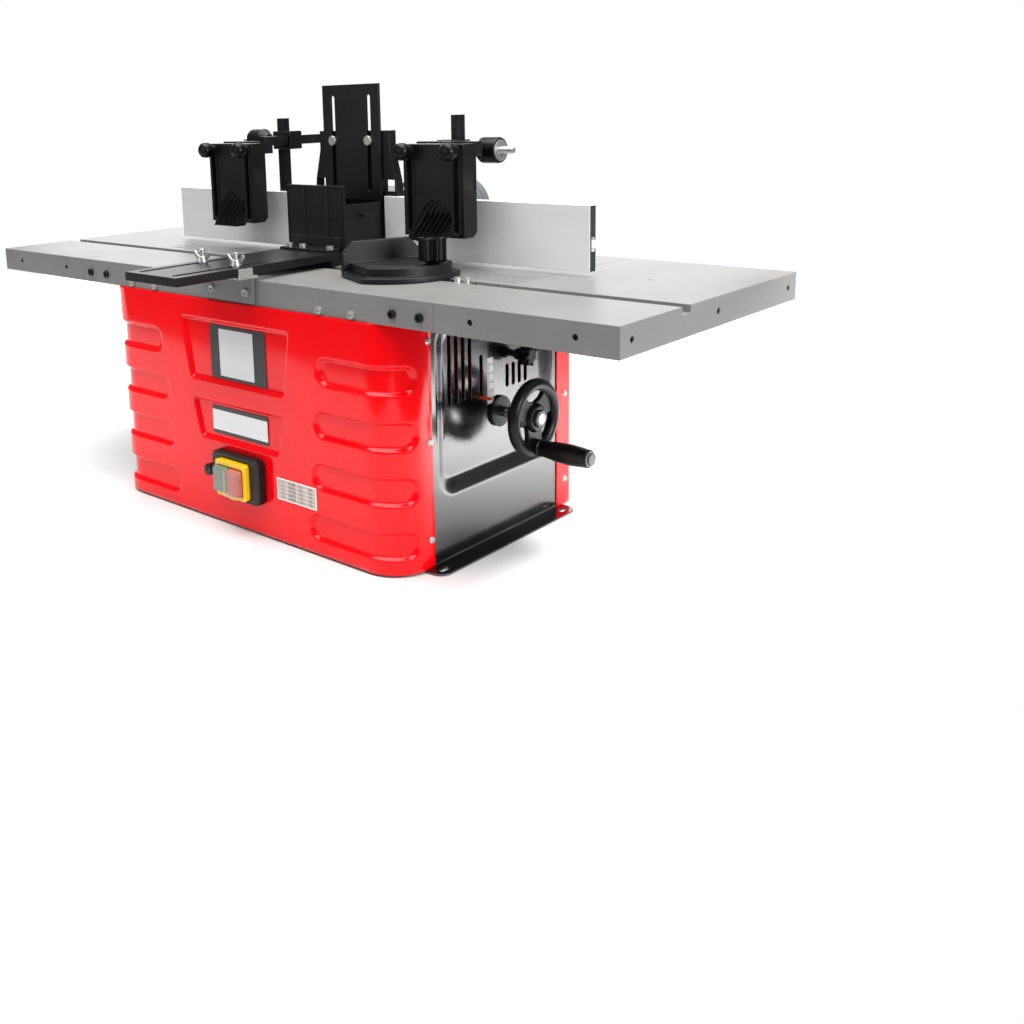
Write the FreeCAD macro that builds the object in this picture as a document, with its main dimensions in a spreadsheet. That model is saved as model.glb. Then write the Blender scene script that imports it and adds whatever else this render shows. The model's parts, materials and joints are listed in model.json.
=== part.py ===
import FreeCAD, Part
import math
import os
import Sketcher
from FreeCAD import Placement, Rotation, Vector

# Bench spindle moulder: a folded steel cabinet carries a grooved table with two
# wings, a router motor that rises on two columns, a split fence with a hood, two
# comb hold-downs, a front guard on a rail and a mitre gauge.
# Lengths are millimetres. X runs along the table, Y from the operator to the back,
# Z up from the bench. Sizes are taken from the middle of the table top, and every
# piece is then moved so that the origin is under the middle of the whole machine.

SIZES = {
    # clearances and cuts
    "overrun": 1.0,
    "fit_gap": 0.05,
    "slide_gap": 0.15,
    "rest_gap": 0.3,
    # table
    "table_height": 306.0,
    "table_length": 610.0,
    "table_depth": 360.0,
    "top_thick": 8.0,
    "apron_depth": 30.0,
    "apron_wall": 5.0,
    "slot_width": 16.0,
    "slot_depth": 8.0,
    "slot_floor": 6.0,
    "slot_front": 64.0,
    "groove_width": 3.0,
    "groove_depth": 2.0,
    "groove_pitch": 11.5,
    "groove_front": 39.0,
    "spindle_back": 45.0,
    "opening_radius": 40.0,
    "insert_radius": 46.0,
    "insert_thick": 5.0,
    "insert_bore": 27.0,
    # wings
    "wing_length": 207.0,
    "wing_hole_radius": 3.2,
    "wing_hole_inset": 45.0,
    "wing_end_inset": 20.0,
    "wing_hole_drop": 15.0,
    "wing_top_hole_radius": 2.5,
    "wing_top_hole_back": 50.0,
    # table screws
    "table_screw_head": 4.6,
    "table_screw_cap": 3.0,
    "table_screw_shank": 2.8,
    "table_screw_grip": 12.0,
    "wing_screw_drop": 17.0,
    "wing_bolt_side": 120.0,
    "wing_screw_inset": 17.0,
    "wing_screw_pitch": 36.0,
    "cabinet_screw_drop": 23.5,
    "cabinet_screw_inset": 60.0,
    "cabinet_screw_pitch": 48.0,
    # cabinet
    "table_overhang": 50.0,
    "panel_proud": 2.0,
    "rear_overhang": 35.5,
    "corner_radius": 46.0,
    "rear_radius": 18.0,
    "front_panel_depth": 56.0,
    "rear_panel_depth": 40.0,
    "sheet": 1.5,
    "lap": 10.0,
    "lap_inset": 5.0,
    "rear_lap": 22.0,
    "rear_lap_inset": 16.0,
    "lip": 14.0,
    "panel_screw_head": 4.0,
    "panel_screw_cap": 2.4,
    "panel_screw_shank": 2.0,
    "panel_screw_grip": 8.0,
    "panel_screw_low": 35.0,
    "panel_screw_drop": 23.0,
    # pressed recesses of the front panel
    "recess_depth": 4.5,
    "bar_height": 33.0,
    "bar_drop": 60.9,
    "bar_low": 34.5,
    "bar_inner": 116.0,
    "bar_step": 7.0,
    "bar_wrap": 36.0,
    "badge_low_width": 168.0,
    "badge_high_width": 194.0,
    "name_low_width": 140.0,
    "name_high_width": 166.0,
    # side panel openings and feet
    "vent_width": 6.0,
    "scale_slot_width": 6.0,
    "scale_slot_front": 32.0,
    "foot_width": 22.0,
    "foot_round": 14.0,
    "foot_thick": 2.5,
    "foot_front": 15.0,
    "foot_back": 13.0,
    "foot_slot_width": 6.0,
    "foot_slot_length": 14.0,
    "foot_slot_inset": 16.0,
    # switch and speed dial
    "switch_right": 5.0,
    "switch_drop": 6.0,
    "switch_width": 84.0,
    "switch_height": 56.0,
    "switch_proud": 12.0,
    "switch_inside": 30.0,
    "switch_margin": 6.0,
    "switch_wall": 3.0,
    "switch_plate_width": 56.0,
    "switch_plate_height": 48.0,
    "switch_plate_thick": 2.5,
    "switch_plate_rise": 6.0,
    "switch_plate_left": 3.0,
    "button_width": 19.5,
    "button_height": 30.0,
    "button_proud": 12.0,
    "button_spacing": 23.0,
    "button_rim": 1.2,
    "dial_left": 45.5,
    "dial_radius": 7.0,
    "dial_length": 13.0,
    "dial_neck": 3.0,
    "dial_neck_length": 9.0,
    "dial_mark": 1.6,
    "gland_radius": 11.0,
    "gland_bore": 4.5,
    "gland_length": 18.0,
    "gland_flange": 15.0,
    "gland_flange_thick": 3.0,
    "gland_high": 60.0,
    "gland_left": 150.0,
    # lift: frame, columns, screw and handwheel shaft
    "column_side": 76.0,
    "column_back": 82.0,
    "column_radius": 8.0,
    "screw_side": 80.0,
    "screw_radius": 6.0,
    "screw_head_gap": 8.0,
    "frame_low": 36.0,
    "frame_thick": 10.0,
    "frame_floor": 2.0,
    "frame_margin": 18.0,
    "upright_thick": 10.0,
    "upright_width": 34.0,
    "upright_reach": 32.0,
    "shaft_radius": 6.0,
    "gear_radius": 16.0,
    "gear_addendum": 1.35,
    "gear_dedendum": 2.2,
    "gear_bite": 0.6,
    "gear_hub": 9.0,
    "gear_hub_length": 8.0,
    "bush_radius": 11.0,
    "bush_flange": 18.0,
    "bush_flange_thick": 4.0,
    "bush_length": 22.0,
    # handwheel and crank
    "wheel_radius": 47.0,
    "wheel_stand": 15.0,
    "rim_depth": 12.0,
    "rim_width": 12.0,
    "rim_round": 4.0,
    "hub_radius": 14.0,
    "hub_length": 34.0,
    "web_thick": 8.0,
    "spoke_width": 13.0,
    "hub_nut_radius": 8.0,
    "hub_nut_thick": 4.0,
    "crank_offset": 34.0,
    "crank_boss": 9.5,
    "crank_bolt_radius": 4.0,
    "crank_bolt_head": 7.0,
    "crank_bolt_cap": 3.0,
    "grip_length": 66.0,
    "grip_neck": 10.5,
    "grip_belly": 12.0,
    "grip_tip": 10.2,
    # height lock and pointer
    "lock_back": 25.0,
    "lock_radius": 12.5,
    "lock_thick": 12.0,
    "lock_stud": 4.0,
    "lock_stud_inside": 20.0,
    "lock_neck": 7.0,
    "lock_neck_length": 10.0,
    "lock_scallop": 4.5,
    "pointer_thick": 3.0,
    "pointer_width": 4.0,
    "pointer_proud": 5.0,
    "pointer_root": 8.0,
    # motor and spindle
    "carrier_thick": 24.0,
    "carrier_margin": 17.0,
    "motor_radius": 44.0,
    "motor_wall": 5.0,
    "motor_low": 82.0,
    "stator_wall": 12.0,
    "stator_low": 112.0,
    "nose_radius": 22.0,
    "nose_bore": 10.0,
    "cap_thick": 20.0,
    "cap_wall": 5.0,
    "cap_vent_width": 5.0,
    "cap_vent_length": 13.0,
    "cap_vent_inset": 3.0,
    "bearing_radius": 14.0,
    "bearing_thick": 10.0,
    "bearing_drop": 2.0,
    "spindle_radius": 6.0,
    "spindle_nose_radius": 9.5,
    "collet_radius": 6.5,
    "collet_bore": 4.0,
    "collet_slit": 1.0,
    "collet_nut_radius": 15.0,
    "rotor_radius": 24.0,
    # fence, hood and dust port
    "fence_back": 25.0,
    "fence_thick": 12.0,
    "fence_height": 72.0,
    "fence_lift": 6.0,
    "fence_length": 297.0,
    "left_fence_inner": 60.0,
    "right_fence_inner": 54.0,
    "tslot_high": 30.0,
    "tslot_mouth": 8.0,
    "tslot_lip": 3.5,
    "tslot_width": 14.0,
    "tslot_depth": 4.5,
    "hood_width": 100.0,
    "hood_depth": 96.0,
    "hood_wall": 4.0,
    "flange_reach": 105.0,
    "flange_thick": 4.0,
    "flange_depth": 46.0,
    "tower_low_width": 144.0,
    "tower_mid_width": 140.0,
    "tower_high_width": 122.0,
    "tower_thick": 13.0,
    "tower_window_inner": 46.0,
    "tower_window_outer": 68.0,
    "port_radius": 40.0,
    "port_wall": 3.0,
    "port_end": 255.0,
    "port_collar": 42.0,
    "port_collar_length": 12.0,
    "port_foot": 43.0,
    "port_foot_thick": 4.0,
    "fence_bolt_side": 92.0,
    "fence_bolt_radius": 3.0,
    "fence_bolt_head": 6.0,
    "fence_bolt_cap": 3.5,
    "fence_bolt_grip": 20.0,
    "fence_nut_radius": 9.0,
    "fence_nut_thick": 10.0,
    "hood_bolt_side": 92.0,
    "hood_bolt_back": 66.0,
    "hood_bolt_travel": 18.0,
    # rising guard plate
    "plate_width": 98.0,
    "plate_thick": 4.0,
    "plate_slot_width": 7.0,
    "plate_bolt_side": 31.0,
    # hold-downs
    "post_side": 153.0,
    "post_size": 12.0,
    "post_back": 50.0,
    "post_foot_width": 28.0,
    "post_foot_height": 26.0,
    "post_foot_depth": 22.0,
    "arm_side": 138.5,
    "arm_size": 12.0,
    "arm_rear": 120.0,
    "clamp_depth": 22.0,
    "clamp_height": 24.0,
    "clamp_wall": 4.0,
    "clamp_stud_radius": 4.0,
    "clamp_neck": 8.0,
    "clamp_neck_length": 20.0,
    "clamp_knob_radius": 15.0,
    "clamp_knob_cone": 8.0,
    "clamp_knob_length": 24.0,
    "clamp_stud_tip": 19.0,
    "clamp_knurl": 2.0,
    "holder_depth": 13.0,
    "holder_height": 16.0,
    "holder_rise": 2.0,
    "holder_margin": 8.0,
    "board_side": 177.0,
    "board_front": 26.0,
    "board_thick": 24.0,
    "board_width": 88.0,
    "board_slot_side": 34.0,
    "board_slot_width": 8.0,
    "board_chamfer": 14.0,
    "finger_slit": 3.2,
    "finger_pitch": 7.2,
    "finger_length": 50.0,
    "finger_start": 4.0,
    "finger_lean_shift": 16.0,
    "board_step_width": 60.0,
    "board_step_rise": 8.0,
    "board_knob_radius": 10.0,
    "board_knob_length": 15.0,
    "board_stud_radius": 3.0,
    "board_neck": 6.0,
    "board_neck_length": 6.0,
    # front guard
    "base_width": 92.0,
    "base_thick": 10.0,
    "base_front": 290.0,
    "base_back": 46.0,
    "base_slot_side": 30.0,
    "base_slot_width": 8.0,
    "base_slot_front": 281.0,
    "base_slot_back": 150.0,
    "base_foot_depth": 16.0,
    "base_skirt_wall": 4.0,
    "base_top_thick": 5.0,
    "rail_depth": 27.0,
    "rail_leg_width": 85.0,
    "rail_thick": 3.0,
    "rail_drop": 27.0,
    "rail_ear_height": 9.0,
    "rail_ear_depth": 20.0,
    "rail_screw_drop": 15.0,
    "wing_stud_forward": 15.0,
    "wing_stud_radius": 3.0,
    "wing_nut_radius": 6.5,
    "wing_nut_thick": 7.0,
    "wing_span": 30.0,
    "wing_height": 13.0,
    "wing_thick": 3.0,
    "wing_root": 5.0,
    "shield_width": 100.0,
    "shield_front": 42.0,
    "shield_wall": 4.0,
    "shield_reach": 24.0,
    "shield_rib": 2.0,
    "shield_rib_width": 4.0,
    "shield_rib_side": 20.0,
    "shield_tab": 7.0,
    "shield_tab_back": 30.0,
    "bracket_thick": 3.0,
    "bracket_height": 16.0,
    "bracket_depth": 22.0,
    "bracket_width": 86.0,
    # mitre gauge
    "mitre_pivot": 150.0,
    "mitre_bar_left": 66.0,
    "mitre_bar_right": 262.0,
    "mitre_pivot_radius": 5.0,
    "mitre_base_radius": 76.0,
    "mitre_base_thick": 6.0,
    "mitre_base_half": 60.0,
    "mitre_step_radius": 67.0,
    "mitre_step_half": 52.0,
    "mitre_step_thick": 10.0,
    "mitre_face_high": 40.0,
    "mitre_face_near": 60.0,
    "mitre_face_far": 35.0,
    "mitre_face_thick": 7.0,
    "mitre_face_back": 6.0,
    "mitre_face_chamfer": 13.0,
    "mitre_arc_radius": 57.0,
    "mitre_arc_width": 7.0,
    "mitre_stud_radius": 3.0,
    "mitre_knob_radius": 15.5,
    "mitre_knob_thick": 26.0,
    "mitre_knob_neck": 8.0,
    "mitre_knob_neck_length": 3.0,
    "mitre_knob_scallop": 6.0,
}

# Heights above the table top; those below it are negative.
RISES = {
    # side panel openings
    "vent_low": -133.0,
    "vent_high": -44.0,
    "short_vent_high": -106.0,
    "scale_slot_low": -141.0,
    "scale_slot_high": -87.0,
    # handwheel shaft and height lock
    "shaft_high": -158.0,
    "lock_high": -95.0,
    # motor and spindle
    "carrier_low": -134.0,
    "motor_high": -66.0,
    "stator_high": -100.0,
    "nose_high": -44.0,
    "spindle_nose_low": -40.0,
    "spindle_nose_high": -14.0,
    "collet_low": -38.0,
    "collet_high": -8.0,
    "collet_slit_low": -26.0,
    "collet_nut_low": -30.0,
    "collet_nut_high": -9.0,
    # hood, tower and dust port
    "hood_high": 82.0,
    "flange_high": 60.0,
    "tower_low": 79.0,
    "tower_sill": 98.0,
    "tower_neck": 134.0,
    "tower_high": 158.0,
    "tower_window_low": 84.0,
    "port_high": 44.0,
    # rising guard plate
    "plate_low": 72.0,
    "plate_high": 215.0,
    "plate_slot_low": 83.0,
    "plate_slot_high": 202.0,
    "plate_bolt_high": 146.0,
    # hold-downs
    "post_high": 175.0,
    "left_arm_high": 146.0,
    "right_arm_high": 134.0,
    "board_low": 32.0,
    "board_high": 144.0,
    "board_slot_low": 44.0,
    "board_slot_high": 140.0,
    "board_stud_high": 136.0,
    # front guard
    "base_high": 16.6,
    "wing_stud_high": 32.0,
    "shield_low": 4.0,
    "shield_high": 95.0,
    "shield_side_high": 72.0,
    "shield_tab_high": 56.0,
}

COUNTS = {
    "groove_count": 4,
    "bar_count": 4,
    "vent_count": 4,
    "gear_teeth": 16,
    "spoke_count": 3,
    "cap_vent_count": 8,
    "lock_lobe_count": 7,
    "mitre_lobe_count": 6,
    "knurl_count": 24,
    "finger_count": 6,
}

ANGLES = {
    "mitre_turn_angle": -24.0,
    "mitre_arc_angle": 54.0,
    "finger_lean_angle": 38.0,
    "full_turn_angle": 360.0,
}

# Shares of a tooth pitch, of the crank grip's length, of the gear's size at its small
# end, of the front panel's height and of the side panel's depth.
TOOTH_ROOT_SHARE = 0.50
TOOTH_TIP_SHARE = 0.22
GRIP_BELLY_SHARE = 0.68
GRIP_WAIST_SHARE = 0.16
GEAR_SMALL_SHARE = 0.69
BADGE_LOW_SHARE = 0.632
BADGE_HIGH_SHARE = 0.916
NAME_LOW_SHARE = 0.367
NAME_HIGH_SHARE = 0.552
VENT_FRONT_SHARE = 0.167
VENT_PITCH_SHARE = 0.051
SHORT_VENT_SHARE = 0.616

doc = FreeCAD.newDocument("SpindleMoulder")
sheet = doc.addObject("Spreadsheet::Sheet", "Sizes")


class Size:
    """A number that remembers the sheet expression it comes from."""

    def __init__(self, value, text):
        self.value = value
        self.text = text

    def __add__(self, other):
        return Size(self.value + number(other), f"({self.text} + {words(other)})")

    def __sub__(self, other):
        return Size(self.value - number(other), f"({self.text} - {words(other)})")

    def __rsub__(self, other):
        return Size(number(other) - self.value, f"({words(other)} - {self.text})")

    def __mul__(self, factor):
        return Size(self.value * factor, f"({self.text} * {factor!r})")

    def __truediv__(self, factor):
        return Size(self.value / factor, f"({self.text} / {factor!r})")

    def __neg__(self):
        return Size(-self.value, f"(-{self.text})")

    __radd__ = __add__
    __rmul__ = __mul__


def number(size):
    return size.value if isinstance(size, Size) else size


def words(size):
    return size.text if isinstance(size, Size) else repr(size)


class Cells:
    """The driving dimensions as attributes, one sheet cell each."""

    def __init__(self, *tables):
        row = 0
        for table in tables:
            for name, amount in table.items():
                row += 1
                sheet.set(f"A{row}", name)
                sheet.set(f"B{row}", str(amount))
                sheet.setAlias(f"B{row}", name)
                setattr(self, name, Size(amount, f"Sizes.{name}"))


s = Cells(SIZES, RISES, COUNTS, ANGLES)
for rise in RISES:
    setattr(s, rise, s.table_height + getattr(s, rise))
doc.recompute()
pieces = []


# Places that several pieces share

half_length = s.table_length / 2
table_front = -s.table_depth / 2
table_back = s.table_depth / 2
table_top = s.table_height
table_under = table_top - s.top_thick
apron_low = table_top - s.apron_depth
slot_y = -s.slot_front
cabinet_half = half_length - s.table_overhang
cabinet_rear = table_back - s.rear_overhang
rear_seam = cabinet_rear - s.rear_panel_depth
panel_front = table_front - s.panel_proud
front_seam = panel_front + s.front_panel_depth
panel_low = s.foot_thick + s.rest_gap
side_outer = cabinet_half - s.sheet
side_inner = side_outer - s.sheet
fence_front = s.fence_back
fence_rear = fence_front + s.fence_thick
fence_low = table_top + s.fence_lift
origin_shift = (s.base_front - s.port_end) / 2


# Drawing helpers

def bind(obj, path, size):
    """Tie one property of an object to the sheet."""
    if isinstance(size, Size):
        obj.setExpression(path, size.text)
    elif size:
        raise ValueError(f"bare length {size} for {obj.Name}.{path}")


def place(obj, x, y, z):
    for axis, size in zip("xyz", (x, y, z)):
        bind(obj, f"Placement.Base.{axis}", size)


def block(xs, ys, zs):
    """Box between a low and a high place on each axis."""
    box = doc.addObject("Part::Box", "Block")
    for side, (low, high) in zip(("Length", "Width", "Height"), (xs, ys, zs)):
        bind(box, side, high - low if isinstance(high, Size) else -(low - high))
    place(box, xs[0], ys[0], zs[0])
    return box


TURNS = {
    "x": Rotation(Vector(0, 1, 0), 90),
    "y": Rotation(Vector(1, 0, 0), -90),
    "z": Rotation(),
    "-x": Rotation(Vector(0, 1, 0), -90),
}


def along(axis, span, at):
    """Place of a shape drawn up the Z axis, laid along x, y or z."""
    others = list(at)
    return [span[0] if letter == axis else others.pop(0) for letter in "xyz"]


def rod(radius, axis, span, at):
    cylinder = doc.addObject("Part::Cylinder", "Rod")
    bind(cylinder, "Radius", radius)
    bind(cylinder, "Height", span[1] - span[0])
    cylinder.Placement = Placement(Vector(), TURNS[axis])
    place(cylinder, *along(axis, span, at))
    return cylinder


def cone(low_radius, high_radius, axis, span, at):
    shape = doc.addObject("Part::Cone", "Cone")
    bind(shape, "Radius1", low_radius)
    bind(shape, "Radius2", high_radius)
    bind(shape, "Height", span[1] - span[0])
    shape.Placement = Placement(Vector(), TURNS[axis])
    place(shape, *along(axis, span, at))
    return shape


def join(*shapes):
    if len(shapes) == 1:
        return shapes[0]
    fusion = doc.addObject("Part::MultiFuse", "Join")
    fusion.Shapes = list(shapes)
    fusion.Refine = True
    return fusion


def cut(base, *tools):
    result = doc.addObject("Part::Cut", "Cut")
    result.Base = base
    result.Tool = join(*tools)
    return result


def common(first, second):
    result = doc.addObject("Part::Common", "Common")
    result.Base = first
    result.Tool = second
    return result


def slot(width, normal, through, run, span, across):
    """Round-ended slot that cuts along one axis and runs along another."""
    half = width / 2
    ends = (span[0] + half, span[1] - half)
    ranges = {letter: (across - half, across + half) for letter in "xyz"}
    ranges[normal] = through
    ranges[run] = ends
    tools = [block(*(ranges[letter] for letter in "xyz"))]
    for end in ends:
        at = [end if letter == run else across for letter in "xyz" if letter != normal]
        tools.append(rod(half, normal, through, at))
    return join(*tools)


def ordered(first, second):
    return (first, second) if number(first) < number(second) else (second, first)


def screw(head, cap, shank, grip, axis, out, face, at):
    """Screw whose head stands on a face; out is +1 or -1 along the axis."""
    top = rod(head, axis, ordered(face, face + out * cap), at)
    stem = rod(shank, axis, ordered(face, face - out * grip), at)
    return join(top, stem)


def group(shapes):
    compound = doc.addObject("Part::Compound", "Group")
    compound.Links = list(shapes)
    return compound


def finish(label, shape, at=(0, 0, 0), turn="z"):
    """Name a finished piece and move it to the machine's own origin."""
    shape.Label = label
    shape.Placement = Placement(Vector(), TURNS[turn])
    place(shape, at[0], origin_shift + at[1], at[2])
    pieces.append(shape)
    return shape


# Sketch helpers for the pieces that are drawn as profiles

def new_body():
    return doc.addObject("PartDesign::Body", "Body")


def origin_feature(body, role):
    return next(item for item in body.Origin.OriginFeatures if item.Role == role)


def sketch_on(body, role, lift=0):
    sketch = body.newObject("Sketcher::SketchObject", "Profile")
    sketch.AttachmentSupport = [(origin_feature(body, role), "")]
    sketch.MapMode = "FlatFace"
    bind(sketch, "AttachmentOffset.Base.z", lift)
    return sketch


def tie(sketch, geometry, point, u, v):
    """Fix one point of a sketch at sizes counted from the sketch origin."""
    for kind, axis, size in (("DistanceX", -2, u), ("DistanceY", -1, v)):
        if isinstance(size, Size):
            rule = Sketcher.Constraint(kind, -1, 1, geometry, point, size.value)
            index = sketch.addConstraint(rule)
            sketch.setExpression(f"Constraints[{index}]", size.text)
        else:
            sketch.addConstraint(Sketcher.Constraint("PointOnObject", geometry, point, axis))


def outline(sketch, points):
    corners = [Vector(number(u), number(v), 0) for u, v in points]
    first = sketch.GeometryCount
    for i, corner in enumerate(corners):
        sketch.addGeometry(Part.LineSegment(corner, corners[(i + 1) % len(corners)]), False)
    for i, (u, v) in enumerate(points):
        following = first + (i + 1) % len(points)
        sketch.addConstraint(Sketcher.Constraint("Coincident", first + i, 2, following, 1))
        tie(sketch, first + i, 1, u, v)


def circle(sketch, u, v, radius):
    ring = Part.Circle(Vector(number(u), number(v), 0), Vector(0, 0, 1), number(radius))
    index = sketch.addGeometry(ring, False)
    tie(sketch, index, 3, u, v)
    rule = sketch.addConstraint(Sketcher.Constraint("Radius", index, number(radius)))
    sketch.setExpression(f"Constraints[{rule}]", radius.text)


def pad(body, sketch, length):
    feature = body.newObject("PartDesign::Pad", "Pad")
    feature.Profile = sketch
    bind(feature, "Length", length)
    return feature


def pocket(body, sketch, length):
    """Cut from the sketch plane along its own normal."""
    feature = body.newObject("PartDesign::Pocket", "Pocket")
    feature.Profile = sketch
    feature.Reversed = True
    bind(feature, "Length", length)
    return feature


def revolution(body, sketch):
    feature = body.newObject("PartDesign::Revolution", "Revolution")
    feature.Profile = sketch
    feature.ReferenceAxis = (sketch, ["V_Axis"])
    bind(feature, "Angle", s.full_turn_angle)
    return feature


def around(body, feature, count):
    """Repeat a feature round the Z axis of its body."""
    pattern = body.newObject("PartDesign::PolarPattern", "Around")
    pattern.Originals = [feature]
    pattern.Axis = (origin_feature(body, "Z_Axis"), [""])
    bind(pattern, "Angle", s.full_turn_angle)
    bind(pattern, "Occurrences", count)
    body.Tip = pattern
    return pattern


PLANES = {"x": "YZ_Plane", "y": "XZ_Plane", "z": "XY_Plane"}


def prism(axis, points, span):
    """Pad of a straight-sided outline along one axis."""
    body = new_body()
    sketch = sketch_on(body, PLANES[axis], -span[1] if axis == "y" else span[0])
    outline(sketch, points)
    body.Tip = pad(body, sketch, span[1] - span[0])
    return body


def turned(profile):
    """Body turned about Z from (radius, height) corners."""
    body = new_body()
    sketch = sketch_on(body, "XZ_Plane")
    outline(sketch, profile)
    body.Tip = revolution(body, sketch)
    return body


# Table: a ribbed casting with a mitre slot, fine grooves and the spindle opening

def table_shell(xs, bays):
    """Top plate with aprons, hollow below in the given bays along X."""
    shell = block(xs, (table_front, table_back), (apron_low, table_top))
    inner = (table_front + s.apron_wall, table_back - s.apron_wall)
    hollows = [block(bay, inner, (apron_low - s.overrun, table_under)) for bay in bays]
    boss_half = s.slot_width / 2 + s.apron_wall
    boss_low = table_top - s.slot_depth - s.slot_floor
    boss = block(xs, (slot_y - boss_half, slot_y + boss_half), (boss_low, table_under))
    slot_half = s.slot_width / 2
    channel = block(
        (xs[0] - s.overrun, xs[1] + s.overrun),
        (slot_y - slot_half, slot_y + slot_half),
        (table_top - s.slot_depth, table_top + s.overrun),
    )
    return cut(join(cut(shell, *hollows), boss), channel)


def apron_screw_places():
    """Each screw on the front and rear aprons, as its x and its drop."""
    places = []
    for side in (-1, 1):
        outer = side * (half_length - s.wing_screw_inset)
        places.append((outer, s.wing_screw_drop))
        places.append((outer - side * s.wing_screw_pitch, s.wing_screw_drop))
        inner = side * (cabinet_half - s.cabinet_screw_inset)
        places.append((inner, s.cabinet_screw_drop))
        places.append((inner - side * s.cabinet_screw_pitch, s.cabinet_screw_drop))
    return places


def wing_bolt_holes(side):
    """Holes through the two walls that meet at one end of the main table."""
    near = side * (half_length - s.apron_wall - s.overrun)
    far = side * (half_length + s.apron_wall + s.overrun)
    z = table_top - s.wing_screw_drop
    ys = (-s.wing_bolt_side, s.wing_bolt_side)
    return [rod(screw_hole, "x", ordered(near, far), (y, z)) for y in ys]


screw_hole = s.table_screw_shank + s.fit_gap
rib_middle = side_inner - s.lip / 2
rib_half = s.apron_wall / 2
wall_end = half_length - s.apron_wall
table = table_shell((-half_length, half_length), [
    (-wall_end, -rib_middle - rib_half),
    (-rib_middle + rib_half, rib_middle - rib_half),
    (rib_middle + rib_half, wall_end),
])
table_cuts = []
for i in range(COUNTS["groove_count"]):
    groove_low = s.groove_pitch * i - s.groove_front - s.groove_width / 2
    table_cuts.append(block(
        (-half_length - s.overrun, half_length + s.overrun),
        (groove_low, groove_low + s.groove_width),
        (table_top - s.groove_depth, table_top + s.overrun),
    ))
spindle_at = (0, s.spindle_back)
through_top = (table_under - s.overrun, table_top + s.overrun)
table_cuts.append(rod(s.opening_radius, "z", through_top, spindle_at))
seat = (table_top - s.insert_thick, table_top + s.overrun)
table_cuts.append(rod(s.insert_radius + s.slide_gap, "z", seat, spindle_at))
rail_screw_places = [(side * s.base_slot_side, s.rail_screw_drop) for side in (-1, 1)]
apron_faces = (
    (-1, (table_front - s.overrun, table_front + s.apron_wall + s.overrun)),
    (1, (table_back - s.apron_wall - s.overrun, table_back + s.overrun)),
)
for out, through in apron_faces:
    for x, drop in apron_screw_places():
        table_cuts.append(rod(screw_hole, "y", through, (x, table_top - drop)))
for x, drop in rail_screw_places:
    table_cuts.append(rod(screw_hole, "y", apron_faces[0][1], (x, table_top - drop)))
for side in (-1, 1):
    table_cuts += wing_bolt_holes(side)
    table_cuts.append(rod(screw_hole, "z", through_top, (side * s.hood_bolt_side, s.hood_bolt_back)))
finish("main_table", cut(table, *table_cuts))

ring = rod(s.insert_radius, "z", (table_top - s.insert_thick, table_top), spindle_at)
finish("insert_ring", cut(ring, rod(s.insert_bore, "z", through_top, spindle_at)))


def wing(label, side):
    """Extension table bolted to one end of the main table."""
    seam = side * half_length
    end = side * (half_length + s.wing_length)
    shell = table_shell(ordered(seam, end), [
        ordered(seam + side * s.apron_wall, end - side * s.apron_wall),
    ])
    hole_z = table_top - s.wing_hole_drop
    tools = []
    for out, through in apron_faces:
        for x in (seam + side * s.wing_hole_inset, end - side * s.wing_hole_inset):
            tools.append(rod(s.wing_hole_radius, "y", through, (x, hole_z)))
    end_wall = ordered(end + side * s.overrun, end - side * (s.apron_wall + s.overrun))
    row = table_back - s.wing_end_inset
    for y in (-row, 0, row):
        tools.append(rod(s.wing_hole_radius, "x", end_wall, (y, hole_z)))
    middle = seam + side * s.wing_length / 2
    tools.append(rod(s.wing_top_hole_radius, "z", through_top, (middle, s.wing_top_hole_back)))
    finish(label, cut(shell, *tools, *wing_bolt_holes(side)))


wing("left_extension", -1)
wing("right_extension", 1)

table_screw = (s.table_screw_head, s.table_screw_cap, s.table_screw_shank, s.table_screw_grip)
table_screws = []
for out, face in ((-1, table_front), (1, table_back)):
    for x, drop in apron_screw_places():
        table_screws.append(screw(*table_screw, "y", out, face, (x, table_top - drop)))
for x, drop in rail_screw_places:
    rail_face = table_front - s.rail_thick
    table_screws.append(screw(*table_screw, "y", -1, rail_face, (x, table_top - drop)))
hood_low = table_top + s.rest_gap
for side in (-1, 1):
    for y in (-s.wing_bolt_side, s.wing_bolt_side):
        at = (y, table_top - s.wing_screw_drop)
        table_screws.append(screw(*table_screw, "x", -side, side * wall_end, at))
    clamp_face = hood_low + s.flange_thick + s.rest_gap
    at = (side * s.hood_bolt_side, s.hood_bolt_back)
    table_screws.append(screw(*table_screw, "z", 1, clamp_face, at))
finish("table_screws", group(table_screws))


# Cabinet: a red front and rear folded round two black side panels

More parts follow.
